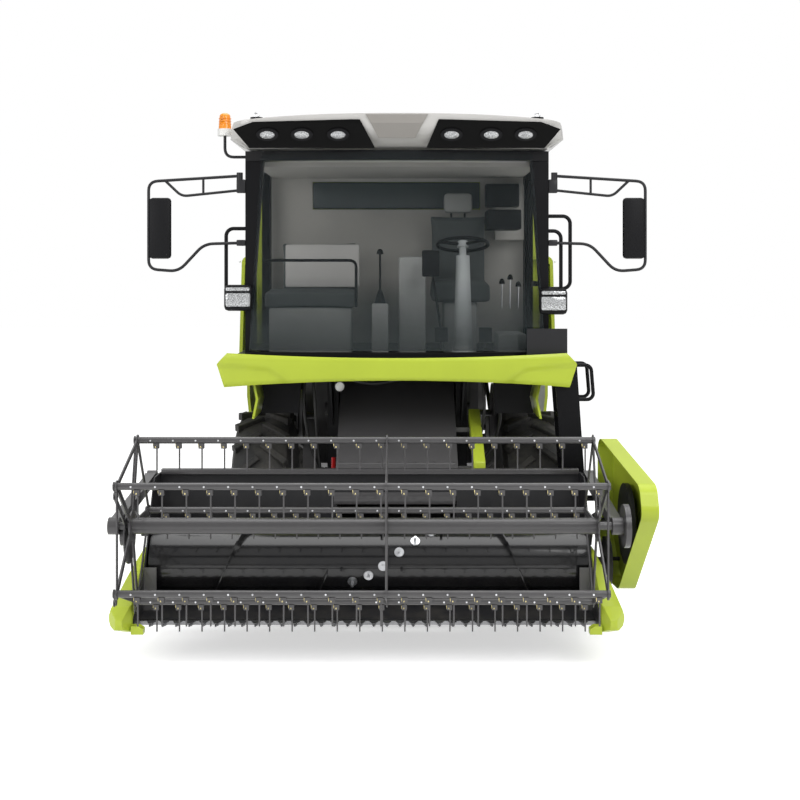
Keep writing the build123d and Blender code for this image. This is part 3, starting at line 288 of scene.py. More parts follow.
# %% Glass
def sheet_glass(name, colour, alpha):
    """A thin tinted sheet to look through, painted more opaque towards its foot as a stand-in for its
    reflection of the floor, with faint random smudges.
    """
    finish = Finish(name)
    finish.material.surface_render_method = "BLENDED"
    # painted reflection: the sheet grows more opaque below 2.25 m up; the noise adds faint real smudges
    painted_reflection_and_smudges = (1 - finish.axis("Z").above(1.75, 2.25)) * 0.42 + finish.noise(1.6, 3.0).above(0.45, 0.75) * 0.06
    return finish.set(Base_Color=colour, Roughness=0.04, Alpha=painted_reflection_and_smudges + alpha, Specular_IOR_Level=0.3)


glass = sheet_glass("glass", (0.025, 0.034, 0.036, 1), 0.13)


# %% Paint the CAD nodes
def wear(material, *names):
    """Give CAD nodes one finish."""
    for name in names:
        mesh = nodes[name].data
        mesh.materials.clear()
        mesh.materials.append(material)


wear(lime, "grain_tank", "side_bodies", "engine_hood", "straw_hood", "bumper", "unloader_riser",
     "unloader_tube", "side_shield_left", "side_shield_right", "header_dividers", "header_drive_shield")
wear(cab_black, "cab_frame", "cab_door", "ladder_and_rails")
wear(black_steel, "chassis_frame", "front_axle", "rear_axle", "cab_platform", "header_table",
     "header_drive", "knuckle_left", "knuckle_right", "tie_rod", "lift_barrels",
     "reel_lift_barrels")
wear(dark_steel, "thresher_body", "belt_drives", "engine", "feeder_house")
wear(reel_steel, "reel_arms", "reel_spider", "reel_ring", *[f"tine_bar_{count}" for count in range(1, 6)])
wear(gloss_black, "header_auger")
wear(knife_steel, "cutter_bar")
wear(chrome, "lift_rods", "reel_lift_rods")
wear(roof_shell, "cab_roof")
wear(visor_shell, "roof_visor")
wear(black_plastic, "fuel_tank", "mirrors", "cab_seats")
wear(cab_trim, "cab_controls")
wear(cab_wall, "cab_lining")
wear(grey_plastic, "lamps")
wear(glass, "cab_glass", "door_glass")
wheel_names = ("front_left", "front_right", "rear_left", "rear_right")
wear(tyre_rubber, *[f"tyre_{name}" for name in wheel_names])
wear(rim_paint, *[f"rim_{name}" for name in wheel_names])

# %% [markdown]
# ## Making small pieces
#
# Everything from here on is too small or too finely shaped for the CAD. Each piece starts as an empty
# bmesh, gets a few shapes from Blender's own operators, and ends as an object that rides on the body that
# carries it, so it moves with the joints.


# %% Shapes in a bmesh
def turned_to(direction):
    """A matrix that turns +Z to a direction."""
    return Vector(direction).to_track_quat("Z", "Y").to_matrix().to_4x4()


def edges_of(made):
    """The edges at the vertices that an operator has just made."""
    return {edge for vertex in made["verts"] for edge in vertex.link_edges}


def placed_box(one, other):
    """The matrix that makes a unit cube the box between two opposite corners."""
    one, other = Vector(one), Vector(other)
    size = [abs(length) for length in other - one]
    return Matrix.Translation((one + other) / 2) @ Matrix.Diagonal((*size, 1))


def add_rod(bm, start, end, radius, sides=12, tip=None):
    """A cylinder, or a cone with its own tip radius, between two points."""
    start, end = Vector(start), Vector(end)
    place = Matrix.Translation((start + end) / 2) @ turned_to(end - start)
    far = radius if tip is None else tip
    bmesh.ops.create_cone(bm, cap_ends=True, segments=sides, radius1=radius, radius2=far,
                          depth=(end - start).length, matrix=place)


def add_slab(bm, low, high, bevel=0.0):
    """A box between two corners, with rounded edges if asked."""
    made = bmesh.ops.create_cube(bm, size=1.0, matrix=placed_box(low, high))
    if bevel:
        bmesh.ops.bevel(bm, geom=list(edges_of(made)), offset=bevel, segments=2, profile=0.5, affect="EDGES",
                        material=-1)


def add_hoop(bm, centre, axis, radius, wire, steps=24, sides=8, turn=360, rise=0.0):
    """A ring of round wire about an axis, or a coil where it rises."""
    axis = Vector(axis).normalized()
    side = axis.orthogonal().normalized()
    centre = Vector(centre)
    forward = axis.cross(side)
    place = Matrix.Translation(centre + side * radius) @ turned_to(forward)
    made = bmesh.ops.create_circle(bm, cap_ends=False, segments=sides, radius=wire, matrix=place)
    full = turn == 360 and rise == 0
    bmesh.ops.spin(bm, geom=[*made["verts"], *edges_of(made)], cent=centre, axis=axis,
                   dvec=axis * rise / steps, angle=math.radians(turn), steps=steps, use_merge=full)


def add_dome(bm, centre, axis, radius, height, sides=16):
    """Half a ball, squashed to a height, with its flat side at the centre."""
    centre, way = Vector(centre), Vector(axis).normalized()
    place = Matrix.Translation(centre) @ turned_to(axis) @ Matrix.Diagonal((radius, radius, height, 1))
    made = bmesh.ops.create_uvsphere(bm, u_segments=sides, v_segments=sides // 2, radius=1.0, matrix=place)
    for vertex in made["verts"]:
        reach = (vertex.co - centre).dot(way)
        if reach < -0.001:
            vertex.co -= way * reach


# %% Finish a piece
def linked(name, data):
    """A new object in the scene."""
    made = bpy.data.objects.new(name, data)
    bpy.context.scene.collection.objects.link(made)
    return made


def place_piece(name, mesh, material, body):
    """Make a mesh an object with one finish that rides on a body."""
    mesh.materials.clear()
    mesh.materials.append(material)
    made = linked(name, mesh)
    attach(made, body)
    print(name, "triangles:", sum(len(face.vertices) - 2 for face in mesh.polygons))
    return made


def finish_piece(name, bm, material, body, smooth=True):
    """Turn a bmesh into an object with one finish that rides on a body."""
    bmesh.ops.remove_doubles(bm, verts=bm.verts, dist=0.00001)
    bmesh.ops.recalc_face_normals(bm, faces=bm.faces)
    mesh = bpy.data.meshes.new(name)
    bm.to_mesh(mesh)
    bm.free()
    if smooth:
        mesh.polygons.foreach_set("use_smooth", [True] * len(mesh.polygons))
        mesh.set_sharp_from_angle(angle=math.radians(35))
    return place_piece(name, mesh, material, body)


def hose(name, material, body, radius, *routes):
    """Fixed pipes and hoses: a smooth curve through each route's points, made a mesh."""
    line = bpy.data.curves.new(name, "CURVE")
    line.dimensions = "3D"
    line.bevel_depth = radius
    line.bevel_resolution = 2
    line.resolution_u = 6
    line.use_fill_caps = True
    for route in routes:
        spline = line.splines.new("BEZIER")
        spline.bezier_points.add(len(route) - 1)
        for point, place in zip(spline.bezier_points, route):
            point.co = place
            point.handle_left_type = point.handle_right_type = "AUTO"
    drawn = linked(name + "_line", line)
    bpy.context.view_layer.update()
    mesh = bpy.data.meshes.new_from_object(drawn.evaluated_get(bpy.context.evaluated_depsgraph_get()))
    bpy.data.objects.remove(drawn)
    bpy.data.curves.remove(line)
    mesh.name = name
    mesh.polygons.foreach_set("use_smooth", [True] * len(mesh.polygons))
    place_piece(name, mesh, material, body)


# %% [markdown]
# ## Tine coils
#
# Each spring tine has a coil of a few turns under its bar, where the zinc plating shows as a dull yellow
# spot. A coil is a small circle spun about the bar's direction with a step along it.

# %% Tine coils and their bolts
reel_y, reel_z, reel_r = -2.620, 0.864, 0.480
tine_x = [-1.356 + 0.1276 * count for count in range(20)]
for bar in range(5):
    turn = math.radians(-36 + 72 * bar)
    y, z = reel_y - reel_r * math.cos(turn), reel_z + reel_r * math.sin(turn)
    coils, bolts = bmesh.new(), bmesh.new()
    for x in tine_x:
        add_hoop(coils, (x - 0.021, y, z - 0.027), (1, 0, 0), 0.0125, 0.003, 36, 6, 360 * 4, 0.030)
        add_rod(coils, (x - 0.006, y - 0.005, z - 0.012), (x - 0.006, y - 0.014, z - 0.040), 0.004, 6)
        add_rod(bolts, (x - 0.034, y - 0.012, z), (x - 0.034, y - 0.021, z), 0.0055, 6)
        add_rod(bolts, (x - 0.034, y - 0.010, z), (x - 0.034, y - 0.016, z), 0.008, 10)
    finish_piece(f"tine_coils_{bar + 1}", coils, zinc, f"tines_{bar + 1}")
    finish_piece(f"tine_bolts_{bar + 1}", bolts, bright_zinc, f"tines_{bar + 1}")

# %% [markdown]
# ## Auger fingers
#
# In its middle the auger has fingers that reach out of the drum and draw back into it. They are
# polished by the crop, and each passes a bright guide.


# %% Auger fingers
def from_axle(turn):
    """The direction at an angle up from the rear, seen from the side."""
    return Vector((0, math.cos(turn), math.sin(turn)))


auger_y, auger_z = -1.850, 0.500
fingers, guides = bmesh.new(), bmesh.new()
# place along the auger, and angle up from the rear over the top
for x, angle in ((-0.265, 204), (-0.169, 192), (-0.082, 176), (0.015, 153), (0.112, 133), (0.209, 113)):
    for turn in (angle, angle + 180):
        way = from_axle(math.radians(turn))
        middle = Vector((x, auger_y, auger_z))
        add_rod(fingers, middle + way * 0.2065, middle + way * 0.2475, 0.009, 10)
        add_rod(guides, middle + way * 0.1995, middle + way * 0.2085, 0.0300, 16, 0.0285)
        for across in (-0.021, 0.021):
            screw = middle + Vector((across, 0, 0))
            add_rod(fingers, screw + way * 0.208, screw + way * 0.2115, 0.004, 6)
finish_piece("auger_fingers", fingers, bright_zinc, "auger")
finish_piece("auger_finger_guides", guides, bright_zinc, "auger")

# %% [markdown]
# ## Bolts
#
# Sheet metal is held by rows of small hexagon heads on washers. One function sets a row of them between
# two points, facing a direction, and a table lists the rows on the machine's body. Wheel nuts stand in a
# circle on each hub.


# %% Bolt rows
def add_bolts(bm, first, last, count, facing, size=0.010):
    """A row of hexagon heads on washers, sunk a little into the sheet that they hold."""
    facing = Vector(facing).normalized()
    for step in range(count):
        share = step / (count - 1) if count > 1 else 0
        place = Vector(first).lerp(Vector(last), share)
        add_rod(bm, place - facing * 0.003, place + facing * 0.0025, size * 1.25, 12)
        add_rod(bm, place, place + facing * size * 0.8, size, 6)


front, back, left, right = (0, -1, 0), (0, 1, 0), (1, 0, 0), (-1, 0, 0)
# first place, last place, how many, facing and, where it is smaller, the head's radius
bolt_rows = (
    ((-0.95, 2.542, 1.70), (0.95, 2.542, 1.70), 9, back),
    ((-0.95, 2.542, 2.42), (0.95, 2.542, 2.42), 9, back),
    ((1.2105, 0.16, 1.53), (1.2105, 2.48, 1.53), 12, left),
    ((-1.2105, 0.16, 1.53), (-1.2105, 2.48, 1.53), 12, right),
    ((1.2105, 0.16, 2.36), (1.2105, 2.48, 2.36), 12, left),
    ((-1.2105, 0.16, 2.36), (-1.2105, 2.48, 2.36), 12, right),
    ((-1.1205, 0.20, 2.95), (-1.1205, 1.42, 2.95), 8, right, 0.009),
    ((-1.05, 0.1095, 2.98), (0.70, 0.1095, 2.98), 10, front, 0.009),
    ((-1.05, 1.5005, 2.98), (0.70, 1.5005, 2.98), 10, back, 0.009),
)
bolts, riser_bolt = bmesh.new(), bmesh.new()
for row in bolt_rows:
    add_bolts(bolts, *row)
add_bolts(riser_bolt, (1.13, 0.62, 2.66), (1.13, 0.62, 2.66), 1, left)
finish_piece("bolts_chassis", bolts, bright_zinc, "chassis", smooth=False)
finish_piece("bolts_unloader", riser_bolt, bright_zinc, "unloader", smooth=False)

# %% Wheel nuts
# axle, centre x, y and z, bolt circle's radius, how many nuts, how far the hub's face stands out
hubs = (
    ("front", 0.945, -0.420, 0.635, 0.1050, 8, 0.0508),
    ("rear", 0.860, 2.130, 0.400, 0.0680, 6, 0.0392),
)
for axle, x, y, z, circle, count, out in hubs:
    for way, side in (("left", 1), ("right", -1)):
        nuts, facing = bmesh.new(), Vector((side, 0, 0))
        for step in range(count):
            place = Vector((side * (x + out), y, z)) + from_axle(math.tau * step / count) * circle
            add_rod(nuts, place - facing * 0.012, place + facing * 0.020, 0.0155, 6)
            add_rod(nuts, place, place + facing * 0.034, 0.008, 8)
        finish_piece(f"wheel_nuts_{axle}_{way}", nuts, zinc, f"wheel_{axle}_{way}", smooth=False)

# %% [markdown]
# ## Padded seats
#
# The driver's seat and the bench are foam under fabric. A copy of the CAD cushions is remeshed finely and
# swelled by cloth under pressure, with a cap on how far a point moves, so they crown and their edges soften.


# %% Seats by cloth
def apply_modifier(made, kind, **settings):
    """Add a modifier with its settings and apply it at once."""
    modifier = made.modifiers.new(kind, kind)
    for key, value in settings.items():
        setattr(modifier, key, value)
    bpy.ops.object.modifier_apply(modifier=kind)


def pad(name, source, body, material, cap=0.018):
    """Swell a copy of a CAD node's cushions with cloth pressure and keep the result."""
    bm = bmesh.new()
    bm.from_mesh(nodes[source].data)
    bmesh.ops.remove_doubles(bm, verts=bm.verts, dist=0.0001)
    mesh = bpy.data.meshes.new(name)
    bm.to_mesh(mesh)
    bm.free()
    made = linked(name, mesh)
    bpy.context.view_layer.objects.active = made
    made.select_set(True)
    apply_modifier(made, "REMESH", mode="VOXEL", voxel_size=0.012)
    start = [vertex.co.copy() for vertex in made.data.vertices]
    cloth = made.modifiers.new("cloth", "CLOTH")
    cloth.settings.use_pressure = True
    cloth.settings.uniform_pressure_force = 4.0
    cloth.settings.effector_weights.gravity = 0.0
    cloth.settings.quality = 5
    for frame_number in range(1, 21):
        bpy.context.scene.frame_set(frame_number)
    bpy.ops.object.modifier_apply(modifier="cloth")
    bpy.context.scene.frame_set(1)
    for vertex, place in zip(made.data.vertices, start):
        move = vertex.co - place
        if move.length > cap:
            vertex.co = place + move * (cap / move.length)
    apply_modifier(made, "SMOOTH", factor=0.5, iterations=4)
    apply_modifier(made, "SUBSURF", levels=1, render_levels=1)
    made.data.polygons.foreach_set("use_smooth", [True] * len(made.data.polygons))
    made.data.materials.clear()
    made.data.materials.append(material)
    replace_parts(made, source)
    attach(made, body)
    print(name, "faces:", len(made.data.polygons))


pad("seat_cushions", "cab_seats", "chassis", seat_fabric)

# %% [markdown]
# ## Cab details
#
# Small levers with round knobs stand beside the seats, and two pedals before the driver. They are only
# seen through the windscreen, so plain shapes are enough.

# %% Levers and pedals
knobs, stalks = bmesh.new(), bmesh.new()
levers = ((0.74, -0.62, 2.02, 2.20), (0.80, -0.60, 2.02, 2.23), (0.86, -0.58, 2.02, 2.18),
          (0.12, -0.70, 1.80, 2.10))
for x, y, low, high in levers:
    add_rod(stalks, (x, y, low), (x, y - 0.03, high), 0.006, 8)
    add_dome(knobs, (x, y - 0.03, high - 0.005), (0, -0.1, 1), 0.021, 0.038, 12)
for x in (0.30, 0.60):
    add_slab(knobs, (x - 0.045, -1.02, 1.80), (x + 0.045, -1.005, 1.90), 0.005)
    add_rod(stalks, (x, -1.005, 1.85), (x, -0.95, 1.76), 0.008, 8)
finish_piece("lever_knobs", knobs, black_plastic, "chassis")
finish_piece("lever_stalks", stalks, bright_zinc, "chassis")

# %% [markdown]
# ## Hoses under the platform
#
# Hydraulic hoses run down from the platform beside the feeder house, and two cross it. They are fixed at
# both ends with some slack, so each is a smooth curve through a few points.

# %% Hoses
hose("platform_hoses", black_rubber, "chassis", 0.011,
     ((-0.62, -1.02, 1.60), (-0.63, -1.06, 1.40), (-0.60, -1.00, 1.15), (-0.55, -0.80, 0.92)),
     ((-0.57, -1.04, 1.60), (-0.55, -1.08, 1.35), (-0.54, -0.98, 1.10), (-0.53, -0.80, 0.86)),
     ((0.57, -1.02, 1.60), (0.59, -1.07, 1.38), (0.56, -0.98, 1.12), (0.53, -0.80, 0.90)),
     ((0.66, -1.00, 1.60), (0.70, -1.04, 1.36), (0.66, -0.92, 1.10), (0.58, -0.78, 0.95)),
     ((-0.30, -1.26, 1.62), (-0.12, -1.27, 1.57), (0.10, -1.26, 1.60), (0.30, -1.26, 1.63)),
     ((-0.46, -1.20, 1.63), (-0.20, -1.22, 1.54), (0.05, -1.22, 1.57), (0.40, -1.20, 1.62)))

# %% [markdown]
# ## Pressed panels by cutting a block
#
# A nose, cover or wedge with flat facets is a block with its corners cut off. Blender's bisect cuts a mesh
# along a plane and can throw one side away, so a convex outline seen from the side, from above and from the
# front gives the whole form, with crisp edges between the facets.


# %% Cut a block to its outlines
def add_cut_block(bm, low, high, *outlines, bevel=0.0):
    """A block between two corners, cut to convex outlines given as two axes' letters and points."""
    part = bmesh.new()
    bmesh.ops.create_cube(part, size=1.0, matrix=placed_box(low, high))
    for axes, points in outlines:
        middle = [sum(point[k] for point in points) / len(points) for k in (0, 1)]
        for first, second in zip(points, (*points[1:], points[0])):
            along = (second[0] - first[0], second[1] - first[1])
            away = [along[1], -along[0]]
            if away[0] * (first[0] - middle[0]) + away[1] * (first[1] - middle[1]) < 0:
                away = [-away[0], -away[1]]
            place, normal = Vector((0, 0, 0)), Vector((0, 0, 0))
            for k, letter in enumerate(axes):
                place["xyz".index(letter)] = first[k]
                normal["xyz".index(letter)] = away[k]
            everything = part.verts[:] + part.edges[:] + part.faces[:]
            cut = bmesh.ops.bisect_plane(part, geom=everything, dist=0.00001, plane_co=place,
                                         plane_no=normal, clear_outer=True)
            rim = [item for item in cut["geom_cut"] if isinstance(item, bmesh.types.BMEdge)]
            bmesh.ops.edgeloop_fill(part, edges=rim)
    bmesh.ops.dissolve_degenerate(part, dist=0.00005, edges=part.edges)
    if bevel:
        sharp = [edge for edge in part.edges if edge.calc_face_angle(0) > 0.3]
        bmesh.ops.bevel(part, geom=sharp, offset=bevel, segments=2, profile=0.5, affect="EDGES", material=-1,
                        clamp_overlap=True)
    mesh = bpy.data.meshes.new("part")
    part.to_mesh(mesh)
    part.free()
    bm.from_mesh(mesh)
    bpy.data.meshes.remove(mesh)


# %% [markdown]
# ## Crop dividers
#
# At each end of the header a pressed nose parts the crop. Its facets lean in towards the tip, and a small
# toe reaches in under the knife's end.

# %% Crop dividers
# (y, z) from the side, and (steps out from the end wall, y or z) from above and from the front
from_side = ((-2.495, 0.250), (-2.510, 0.300), (-2.440, 0.372), (-2.150, 0.540), (-1.990, 0.600),
             (-1.800, 0.600), (-1.800, 0.570), (-2.200, 0.240), (-2.400, 0.214))
from_above = ((0, -1.80), (0, -2.425), (0.040, -2.505), (0.078, -2.500), (0.128, -2.440), (0.150, -2.300),
              (0.125, -2.150), (0.060, -1.80))
from_front = ((0, 0.214), (0.038, 0.214), (0.118, 0.262), (0.134, 0.305), (0.072, 0.480), (0, 0.650))
toe_outline = ((-0.070, 0.215), (-0.0005, 0.215), (-0.0005, 0.262), (-0.044, 0.262), (-0.070, 0.245))
dividers = bmesh.new()
for side, wall in ((-1, -1.508), (1, 1.168)):
    plan, face, toe = [[(wall + side * out, other) for out, other in outline]
                       for outline in (from_above, from_front, toe_outline)]
    add_cut_block(dividers, (wall, -2.52, 0.2), (wall + side * 0.152, -1.79, 0.7),
                  ("yz", from_side), ("xy", plan), ("xz", face), bevel=0.004)
    add_cut_block(dividers, (wall, -2.458, 0.2), (wall - side * 0.08, -2.402, 0.3), ("xz", toe))
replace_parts(finish_piece("crop_dividers", dividers, lime, "feeder", smooth=False), "header_dividers")

# %% [markdown]
# ## Bumper
#
# The platform's front is a long moulded bumper, bowed forward, arched underneath and creased towards its
# ends. A grid stands for its face: each point's height runs between the lower and upper edge at its place,
# and solidify gives the wall. Under it a lime strip runs back on each side, and a black guard fills the
# space inside the strip.


# %% Bumper
def bumper_edges(across):
    """The lower and upper edge's height at a share of the half width."""
    return 1.577 - 0.053 * across ** 2, 1.722 + 0.026 * across ** 2


bumper = bmesh.new()
bmesh.ops.create_grid(bumper, x_segments=96, y_segments=12, size=1.0)
for vertex in bumper.verts:
    across, up_share = vertex.co.x, (vertex.co.y + 1) / 2
    low, high = bumper_edges(across)
    half = 1.126 + 0.050 * min(up_share / 0.68, 1) - 0.070 * max((up_share - 0.68) / 0.32, 0)
    z = low + (high - low) * up_share
    x = across * half
    y = -1.490 + 0.120 * (x / 1.17) ** 2
    # below a crease line that climbs outwards, the ends step back
    crease = 1.656 + (abs(x) - 0.834) * 0.073 if abs(x) > 0.834 else 1.572 + (abs(x) - 0.716) * 0.712
    if z < crease - 0.004 and abs(x) > 0.716:
        y += 0.010 * min((crease - z) / 0.02, 1)
    # the upper and lower edge curl back
    rounded = max(up_share - 0.94, 0) / 0.06 + max(0.06 - up_share, 0) / 0.06
    vertex.co = (x, y + 0.008 * rounded ** 2, z)
bmesh.ops.recalc_face_normals(bumper, faces=bumper.faces)
if sum(face.normal.y for face in bumper.faces) > 0:
    bmesh.ops.reverse_faces(bumper, faces=bumper.faces)
bmesh.ops.solidify(bumper, geom=bumper.faces[:], thickness=0.045)
# each half of a fender and of a guard: lower and upper height, and its outline in (x, z)
fender_halves = ((1.438, 1.639, ((0.967, 1.638), (0.927, 1.440), (0.911, 1.440), (0.951, 1.638))),
                 (1.310, 1.442, ((0.927, 1.440), (0.952, 1.312), (0.938, 1.312), (0.911, 1.440))))
guard_halves = ((1.440, 1.639, ((0.930, 1.639), (0.890, 1.440), (0.650, 1.440), (0.640, 1.639))),
                (1.320, 1.440, ((0.890, 1.440), (0.915, 1.330), (0.660, 1.330), (0.650, 1.440))))
guards = bmesh.new()
for bm, halves, near, far, front_y, rear_y in ((bumper, fender_halves, 0.90, 0.97, -1.30, -0.15),
                                               (guards, guard_halves, 0.63, 0.94, -1.118, -1.110)):
    for side in (-1, 1):
        for low, high, outline in halves:
            face = [(side * x, z) for x, z in outline]
            add_cut_block(bm, (side * near, front_y, low), (side * far, rear_y, high), ("xz", face))
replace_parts(finish_piece("bumper_skin", bumper, lime, "chassis"), "bumper")
finish_piece("mudguards", guards, black_plastic, "chassis", smooth=False)

# %% [markdown]
# ## Roof
#
# The cab's roof is one moulding with rounded corners and a low crown. It is made from a grid: its corners
# are pulled in to an arc, its middle is raised, and its rim is extruded down in steps to the underside. A
# grey panel sits in the middle of its front, and at each side an eye on a round foot serves for lifting.


# %% Roof
def nearest(marks, vertex):
    """What the mark nearest to a vertex, seen from above, stands for."""
    return marks[min(marks, key=lambda old: (old.co.xy - vertex.co.xy).length_squared)]


roof_low, roof_high, corner = Vector((-1.077, -1.425)), Vector((1.077, 0.150)), 0.150
roof = bmesh.new()
bmesh.ops.create_grid(roof, x_segments=48, y_segments=32, size=1.0)
outward = {}
for vertex in roof.verts:
    x = roof_low.x + (vertex.co.x + 1) / 2 * (roof_high.x - roof_low.x)
    y = roof_low.y + (vertex.co.y + 1) / 2 * (roof_high.y - roof_low.y)
    inner = Vector((max(min(x, roof_high.x - corner), roof_low.x + corner),
                    max(min(y, roof_high.y - corner), roof_low.y + corner)))
    away = Vector((x, y)) - inner
    if away.length > 0:
        reach = max(abs(away.x), abs(away.y))
        away = away.normalized() * reach
        x, y = inner.x + away.x, inner.y + away.y
    # the crown falls to both sides, to the rear and a little to the front
    to_sides = 1 - (abs(x) / roof_high.x) ** 2.4
    to_rear = 1 - max(y + 0.10, 0) / 0.25 * 0.5
    to_front = 1 - 0.28 * max(1 - (y - roof_low.y) / 0.35, 0)
    vertex.co = (x, y, 3.252 + 0.073 * to_sides * to_rear * to_front)
    if vertex.is_boundary:
        outward[vertex] = away.normalized() if away.length > 0 else Vector((0, 0))
rim = [edge for edge in roof.edges if edge.is_boundary]
# height, sideways step out, step back of the front for each ring down the rim
rim_rings = ((3.238, 0.006, 0.0), (3.205, 0.006, 0.015), (3.145, 0.006, 0.044), (3.094, -0.085, 0.100))
for height, out, lean in rim_rings:
    made = bmesh.ops.extrude_edge_only(roof, edges=rim)["geom"]
    rim = [item for item in made if isinstance(item, bmesh.types.BMEdge) and item.is_boundary]
    fresh = [item for item in made if isinstance(item, bmesh.types.BMVert)]
    for vertex in fresh:
        way = nearest(outward, vertex)
        vertex.co.z = height
        vertex.co.x += way.x * out
        vertex.co.y += -way.y * lean if way.y < 0 else way.y * min(out, 0)
    outward = {vertex: nearest(outward, vertex) for vertex in fresh}
bmesh.ops.holes_fill(roof, edges=rim)
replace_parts(finish_piece("roof_moulding", roof, roof_shell, "chassis"), "cab_roof")
panel = bmesh.new()
add_cut_block(panel, (-0.21, -1.45, 3.14), (0.21, -1.35, 3.24),
              ("xz", ((-0.170, 3.240), (0.170, 3.240), (0.120, 3.148), (-0.120, 3.148))),
              ("yz", ((-1.3725, 3.148), (-1.3850, 3.148), (-1.4320, 3.240), (-1.4200, 3.240))))
add_cut_block(panel, (-0.21, -1.432, 3.24), (0.21, -1.420, 3.296),
              ("xz", ((-0.202, 3.296), (0.202, 3.296), (0.170, 3.240), (-0.170, 3.240))))
eyes, eye_rings = bmesh.new(), bmesh.new()
for x in (-0.938, 0.938):
    add_rod(eyes, (x, -1.15, 3.255), (x, -1.15, 3.300), 0.036, 24)
    add_rod(eyes, (x, -1.15, 3.300), (x, -1.15, 3.308), 0.042, 24)
    add_hoop(eye_rings, (x, -1.15, 3.324), (0, 1, 0), 0.0155, 0.0050, 24, 8)
finish_piece("lifting_eye_feet", eyes, black_plastic, "chassis")
finish_piece("lifting_eye_rings", eye_rings, bright_zinc, "chassis")
finish_piece("roof_centre_panel", panel, roof_panel, "chassis", smooth=False)

# %% [markdown]
# ## Lamps, beacon and horn
#
# Six oval work lamps sit in the visor, two headlamps on the cab's posts, and an amber beacon stands on a
# bent arm. The work lamps' lenses are flattened domes and the headlamps' are rounded blocks, all with small
# cells pressed in them. A horn hangs under the platform, and a red lamp marks each rear corner.


# %% Pipes with rounded bends
def bent_route(points, bend):
    """The points of a pipe with straight legs and rounded corners."""
    points = [Vector(point) for point in points]
    route = [points[0]]
    for before, turning, after in zip(points, points[1:], points[2:]):
        to_before, to_after = before - turning, after - turning
        first = turning + to_before.normalized() * min(bend, to_before.length / 2)
        last = turning + to_after.normalized() * min(bend, to_after.length / 2)
        for step in range(7):
            share = step / 6
            route.append(first.lerp(turning, share).lerp(turning.lerp(last, share), share))
    return [*route, points[-1]]


def frame_at(place, x_way, y_way, z_way):
    """A matrix that lays +X, +Y and +Z along three directions at a place."""
    return Matrix.Translation(place) @ Matrix((x_way, y_way, z_way)).transposed().to_4x4()


def sweep(bm, route, radius, sides, hint, closed=False):
    """A round section along a route, ring by ring; the hint is a direction that the route never takes."""
    last = len(route) - 1
    rings = []
    for count, place in enumerate(route):
        after = (count + 1) % len(route) if closed else min(count + 1, last)
        before = count - 1 if closed else max(count - 1, 0)
        way = (route[after] - route[before]).normalized()
        side = Vector(hint).cross(way).normalized()
        made = bmesh.ops.create_circle(bm, cap_ends=not closed and count in (0, last), segments=sides,
                                       radius=radius, matrix=frame_at(place, side, way.cross(side), way))
        rings.append(edges_of(made))
    following = [*rings[1:], rings[0]] if closed else rings[1:]
    for pair in zip(rings, following):
        bmesh.ops.bridge_loops(bm, edges=list(pair[0] | pair[1]))


def add_pipe(bm, points, radius, bend, sides=12):
    """A round pipe with rounded bends."""
    sweep(bm, bent_route(points, bend), radius, sides, (0.031, 1, 0.017))


# %% Lamps
# how far the visor's face comes forward for each metre up
visor_lean = 73 / 152
lean = Vector((0, -1, -visor_lean)).normalized()
slope = Vector((0, -visor_lean, 1)).normalized()
shells, lenses = bmesh.new(), bmesh.new()
for x in (-0.839, -0.616, -0.381, 0.354, 0.611, 0.833):
    oval = frame_at((x, -1.4135, 3.167), (1, 0, 0), slope, lean)
    bmesh.ops.create_cone(shells, cap_ends=True, segments=40, radius1=1.0, radius2=1.0, depth=1.0,
                          matrix=oval @ Matrix.Diagonal((0.071, 0.041, 0.024, 1)))
    bmesh.ops.create_uvsphere(lenses, u_segments=32, v_segments=12, radius=1.0,
                              matrix=oval @ Matrix.Diagonal((0.064, 0.035, 0.018, 1)))
for x, z in ((-1.043, 2.106), (1.027, 2.082)):
    add_slab(shells, (x - 0.093, -1.320, z - 0.086), (x + 0.093, -1.262, z + 0.086), 0.028)
    add_slab(lenses, (x - 0.082, -1.329, z - 0.060), (x + 0.082, -1.300, z + 0.034), 0.014)
    add_slab(lenses, (x - 0.080, -1.329, z + 0.044), (x + 0.080, -1.300, z + 0.070), 0.010)
    post_x = math.copysign(1.0, x)
    add_slab(shells, (post_x - 0.012, -1.270, z - 0.015), (post_x + 0.012, -1.210, z + 0.015))
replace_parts(finish_piece("lamp_shells", shells, black_plastic, "chassis"), "lamps")
finish_piece("lamp_lenses", lenses, lens, "chassis")
beacon, beacon_base, tail_lamps, horn = bmesh.new(), bmesh.new(), bmesh.new(), bmesh.new()
add_rod(beacon, (-1.156, -1.1, 3.235), (-1.156, -1.1, 3.322), 0.043, 32, 0.036)
add_dome(beacon, (-1.156, -1.1, 3.322), (0, 0, 1), 0.036, 0.022, 32)
for z in (3.252, 3.270, 3.288, 3.306):
    add_hoop(beacon, (-1.156, -1.1, z), (0, 0, 1), 0.0405, 0.0022, 32, 6)
add_rod(beacon_base, (-1.156, -1.1, 3.190), (-1.156, -1.1, 3.236), 0.049, 32)
add_pipe(horn, ((-1.010, -1.1, 3.048), (-1.156, -1.1, 3.048), (-1.156, -1.1, 3.192)), 0.010, 0.06)
add_rod(horn, (-0.375, -1.285, 1.525), (-0.375, -1.325, 1.525), 0.033, 32)
add_rod(horn, (-0.375, -1.295, 1.525), (-0.375, -1.285, 1.66), 0.008, 8)
add_dome(beacon_base, (-0.375, -1.325, 1.525), (0, -1, 0), 0.030, 0.020, 24)
for side in (-1, 1):
    add_slab(tail_lamps, (side * 0.98, 2.545, 1.90), (side * 1.12, 2.578, 2.06), 0.010)
finish_piece("beacon_lens", beacon, amber, "chassis")
finish_piece("beacon_base", beacon_base, white_plastic, "chassis")
finish_piece("tail_lamps", tail_lamps, red_lens, "chassis")
finish_piece("beacon_arm_and_horn", horn, black_steel, "chassis")

